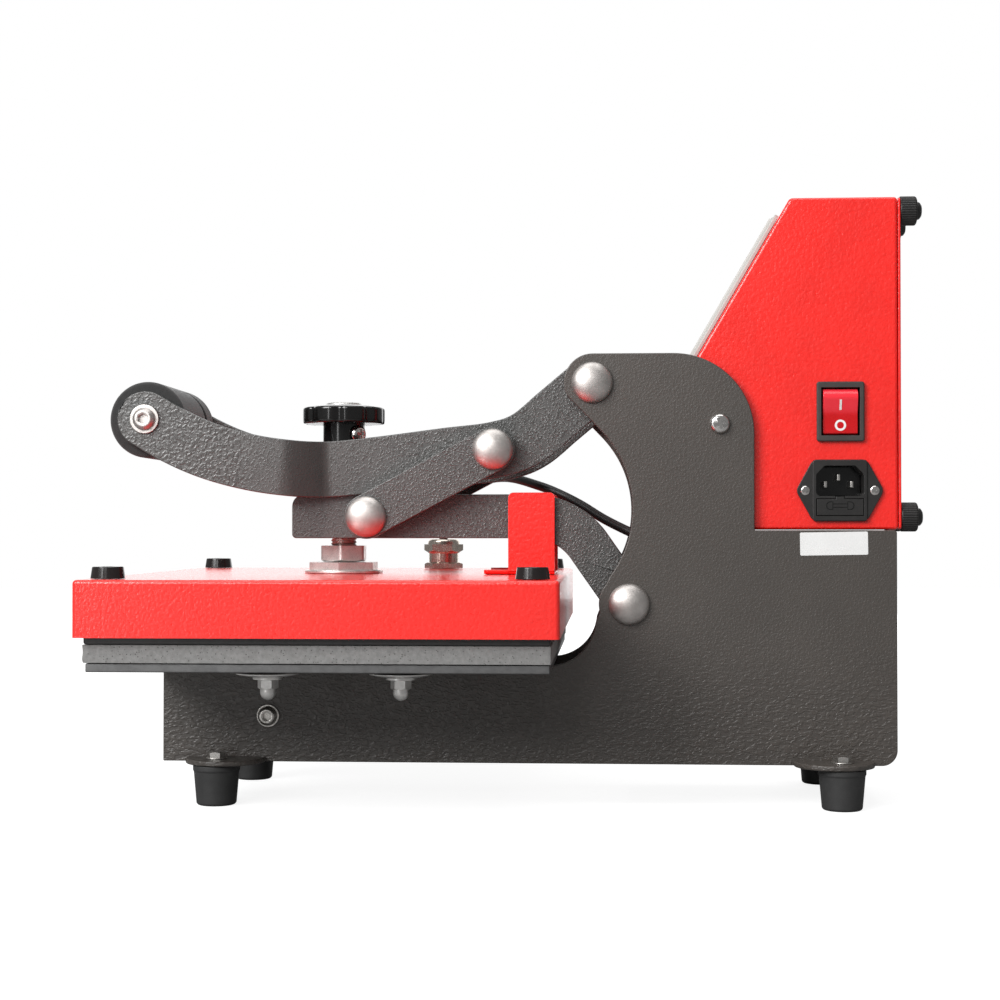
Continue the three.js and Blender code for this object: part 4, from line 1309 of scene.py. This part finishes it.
def switch_pieces():
    y, z = SWITCH_AT
    levels = [(0, WALL_FACE), *eased(0, WALL_FACE + 2.4, 0.9)]
    made = object_of("switch_body_fine", lofted(y, z, 27.4, 34.7, 1.5, levels, "X"))
    join(made, block((21, WALL_FACE + 1), about(y, 12.5), about(z, 15.4)))
    cut(made, block((30.5, 46), about(y, 11.1), about(z, 13.9)))
    round_edges(made, 0.3, 2, 50)
    replace("switch_body", made, SWITCH_GREY)
    rocker()


def rocker():
    """The rocker, its lower half pressed in and its upper half standing out to a bevelled ridge."""
    half, ridge, tilt, x, face = 10.0, 9.0, radians(20), 38.5, 1
    y, z = SWITCH_AT
    lean = tan(tilt)
    outline = softened([
        (-3, 13.2), (face, 13.3), (face + ridge * lean, ridge), (face, 0),
        (face, -12.6), (0, -13.2), (-3, -13.2),
    ], 2.4, 8)
    bm = prism([(x + u, z + v) for u, v in outline], about(y, half), "Y")
    stand_in("switch_rocker", bm, bevel=0.4)
    height = 3.9
    place = Matrix.Translation((x + face + height * lean, y, z + height))
    stroke = block((-0.15, 0.12), (-0.62, 0.62), (-3.1, 3.1))
    stroke = moved(stroke, place @ Matrix.Rotation(tilt, 4, "Y"))
    piece("switch_mark_on", stroke, WHITE_PRINT, "switch_rocker")
    ring = rod(3.25, x + face - 0.15, x + face + 0.1, 2.0)
    mark = turned(ring, (0, y, z - 7.9), "X", 48, closed=True)
    piece("switch_mark_off", mark, WHITE_PRINT, "switch_rocker")


def inlet_pieces():
    y, z = INLET_AT
    hexagonal = [(-25.3, 0), (-15.6, -17.6), (15.6, -17.6), (25.3, 0), (15.6, 17.8), (-15.6, 17.8)]
    flange = rounded_corners([(y + dy, z + dz) for dy, dz in hexagonal], 2.8)
    made = object_of("power_inlet_fine", prism(flange, (WALL_FACE, WALL_FACE + 1.7)))
    round_edges(made, 0.5, 2)
    levels = [(0, WALL_FACE + 0.4), *eased(0, WALL_FACE + 2.6, 0.5)]
    join(made, lofted(y, z + 0.1, 31.2, 35.4, 1.5, levels, "X"))
    join(made, block((13, WALL_FACE + 1), about(y, 14.3), (z - 15.5, z + 15.7)))
    socket = [
        (-12, -3.1), (12, -3.1), (13.7, -1.4), (13.7, 9.3),
        (8.8, 14.4), (-8.8, 14.4), (-13.7, 9.3), (-13.7, -1.4),
    ]
    outline = rounded_corners([(y + dy, z + dz) for dy, dz in socket], 0.9)
    outside = WALL_FACE + 5
    cut(made, prism(outline, (25, outside)))
    cut(made, block((15.7, outside), about(y, 13.6), (z - 14.6, z - 4.6)))
    cut(made, block((30, outside), about(y, 2.8), (z - 5, z - 2.9)))
    round_edges(made, 0.25, 2, 50)
    replace("power_inlet", made)

    floor = block((25.1, 26), about(y, 13.5), (z - 2.9, z + 14.2))
    piece("inlet_socket_floor", floor, KNOB_PLASTIC, "frame", bevel=0.3)
    blades = bmesh.new()
    for dy, up in ((-7.6, 3.7), (0, 7.8), (7.6, 3.7)):
        block((25, 35), about(y + dy, 1), about(z + up, 2), blades)
    piece("inlet_blades", blades, LOOKS["zinc_steel"], "frame", bevel=0.5)
    for side, dy in (("rear", 19.9), ("front", -19.9)):
        phillips(f"inlet_screw_{side}", (WALL_FACE + 1.5, y + dy, z), 2.8, 1.0, "frame", turn=35)
    fuse_drawer()


def frame_line(bm, outline, width, span):
    """A raised line along a closed outline in (Y, Z)."""
    centre = sum((Vector(p) for p in outline), Vector((0, 0))) / len(outline)
    inner = []
    for p in outline:
        away = Vector(p) - centre
        inner.append(tuple(centre + away * (1 - width * 1.3 / away.length)))
    rings = [(outline, span[0]), (outline, span[1]), (inner, span[1]), (inner, span[0])]
    rows = [[bm.verts.new((x, *p)) for p in ring] for ring, x in rings]
    skin(bm, rows, closed=True)


def fuse_drawer():
    """The drawer with its tab, and the sign of a fuse in thin lines on its face."""
    y, z = INLET_AT
    face = 42
    made = object_of("fuse_drawer_fine", block((16, face), about(y, 13.3), (z - 14.3, z - 4.9)))
    join(made, block((31, face), about(y, 2.5), (z - 6, z - 3.5)))
    round_edges(made, 0.35, 2)
    replace("fuse_drawer", made)
    mark, line_x, line_z = bmesh.new(), (face - 0.1, face + 0.06), z - 8.7
    cap = ((0, -1), (0.6, -1), (0.9, -0.6), (1, 0), (0.9, 0.6), (0.6, 1), (0, 1))
    for sign in (1, -1):
        ends = [(y + sign * (4.1 + 4 * u), line_z + 2.4 * v) for u, v in cap]
        frame_line(mark, ends, 0.4, line_x)
        block(line_x, about(y, 4), about(line_z + sign, 0.2), mark)
    piece("fuse_mark", mark, KNOB_PLASTIC, "fuse_drawer")


def label_plate():
    """A blank label, stuck on a little askew."""
    width, height, thick, y, z = 38.8, 13.3, 0.14, 185, 151.1
    bm = lofted(0, 0, width, height, 0.8, [(0, 0), (0, thick)], "X")
    askew = Matrix.Rotation(radians(0.9), 4, "X")
    bm = moved(bm, Matrix.Translation((OUTER_X[1], y, z)) @ askew)
    piece("blank_label", bm, LABEL_PAPER, "frame")


# ---- camera, cable, light and floor


def set_camera():
    """From the right and nearly along X, looking up by less than a degree."""
    place = (1.1199, 0.0580, 0.1595)
    turn, rise = radians(3.5), radians(0.898)
    level = Vector((-cos(turn), -sin(turn), 0))
    ahead = level * cos(rise) + Vector((0, 0, sin(rise)))
    right = Vector((-sin(turn), cos(turn), 0))
    lens = bpy.data.cameras.new("camera")
    lens.lens = 66.6
    lens.sensor_width = 36
    camera = bpy.data.objects.new("camera", lens)
    axes = Matrix((right, right.cross(ahead), -ahead)).transposed().to_4x4()
    camera.matrix_world = Matrix.Translation(place) @ axes
    bpy.context.scene.collection.objects.link(camera)
    bpy.context.scene.camera = camera


def heater_cable():
    """From the gland, over the arms and down between the side plates, then up into the box."""
    route = [
        (-138, -57.4, 150.2), (-138, -57.4, 160), (-136.5, -54, 171), (-130, -46, 181),
        (-118, -36, 188), (-101, -25.5, 191.8), (-83, -14.5, 193), (-66, -4, 191.6),
        (-52, 8, 187.9), (-42, 20.4, 183.3), (-36, 37, 175.1), (-34.3, 52.3, 165.7),
        (-33, 68.4, 157.6), (-28, 84, 150.4), (-19, 99, 145.2), (-9, 114, 143.4),
        (-2.5, 126, 147), (0, 133, 153), (0, CABLE_ENTRY_Y, 160), (0, CABLE_ENTRY_Y, 170),
    ]
    line = catmull_rom(route, 6, 0.5)
    radius, start, end = 2.9, (-0.019, 0.099, 0.145), (-0.045, 0.016, 0.186)
    made = bending("heater_cable", line, radius, 20)


def lamp(name, place, aim, size, power):
    light = bpy.data.lights.new(name, "AREA")
    light.shape = "RECTANGLE"
    light.size, light.size_y = size
    light.energy = power
    lit = bpy.data.objects.new(name, light)
    lit.location = place
    lit.rotation_euler = (Vector(aim) - Vector(place)).to_track_quat("-Z", "Y").to_euler()
    lit.visible_camera = False
    bpy.context.scene.collection.objects.link(lit)
    return lit


def studio():
    scene = bpy.context.scene
    scene.view_settings.view_transform = "Standard"
    world = bpy.data.worlds.new("studio")
    scene.world = world
    world.use_nodes = True
    tree = world.node_tree
    background = tree.nodes["Background"]
    seen = tree.nodes.new("ShaderNodeLightPath").outputs["Is Camera Ray"]
    strength = tree.nodes.new("ShaderNodeMapRange")
    tree.links.new(seen, strength.inputs["Value"])
    strength.inputs["To Min"].default_value = 0.24
    strength.inputs["To Max"].default_value = 1.0
    tree.links.new(strength.outputs["Result"], background.inputs["Strength"])
    background.inputs["Color"].default_value = (1, 1, 1, 1)

    floor = bmesh.new()
    bmesh.ops.create_circle(floor, cap_ends=True, segments=96, radius=4)
    mesh = bpy.data.meshes.new("floor")
    floor.to_mesh(mesh)
    floor.free()
    ground = bpy.data.objects.new("floor", mesh)
    scene.collection.objects.link(ground)
    look = Look("studio_floor", Roughness=0.9, Metallic=0.0, Emission_Color=(1, 1, 1, 1))
    seen = look.add("ShaderNodeLightPath").outputs["Is Camera Ray"]
    away = look.add("ShaderNodeVectorMath", {"operation": "LENGTH"})
    look.tree.links.new(look.where, away.inputs[0])
    glow = look.spread(away.outputs["Value"], 0.45, 1.4, 0.86, 1.0, True)
    look.feed(look.shader, {"Emission_Strength": look.maths("MULTIPLY", seen, glow)})
    clouds = look.colours(look.noise(400, 2), (0, (0.27,) * 3), (1, (0.3,) * 3))
    mesh.materials.append(look.finish(clouds))

    lamp("key", (1.35, -1.2, 1.15), (0, 0, 0.15), (1.0, 1.0), 40)
    lamp("front", (1.55, -0.3, 0.85), (0, 0.05, 0.2), (0.5, 0.5), 5)
    lamp("overhead", (0.2, 0.0, 1.9), (0, 0, 0.1), (1.5, 1.5), 15)
    lamp("backlight", (-2.2, 0.0, 0.75), (0, 0, 0.15), (3.4, 1.5), 21)
    strip = lamp("strip", (1.3, -0.75, 0.35), (0, -0.1, 0.22), (0.16, 0.7), 1.8)
    strip.visible_diffuse = False


set_camera()
heater_cable()
frame_pieces()
bed_pieces()
linkage_pieces()
head_pieces()
pressure_screw()
pressure_knob()
lift_spring()
control_box()
panel_pieces()
switch_pieces()
inlet_pieces()
label_plate()
studio()
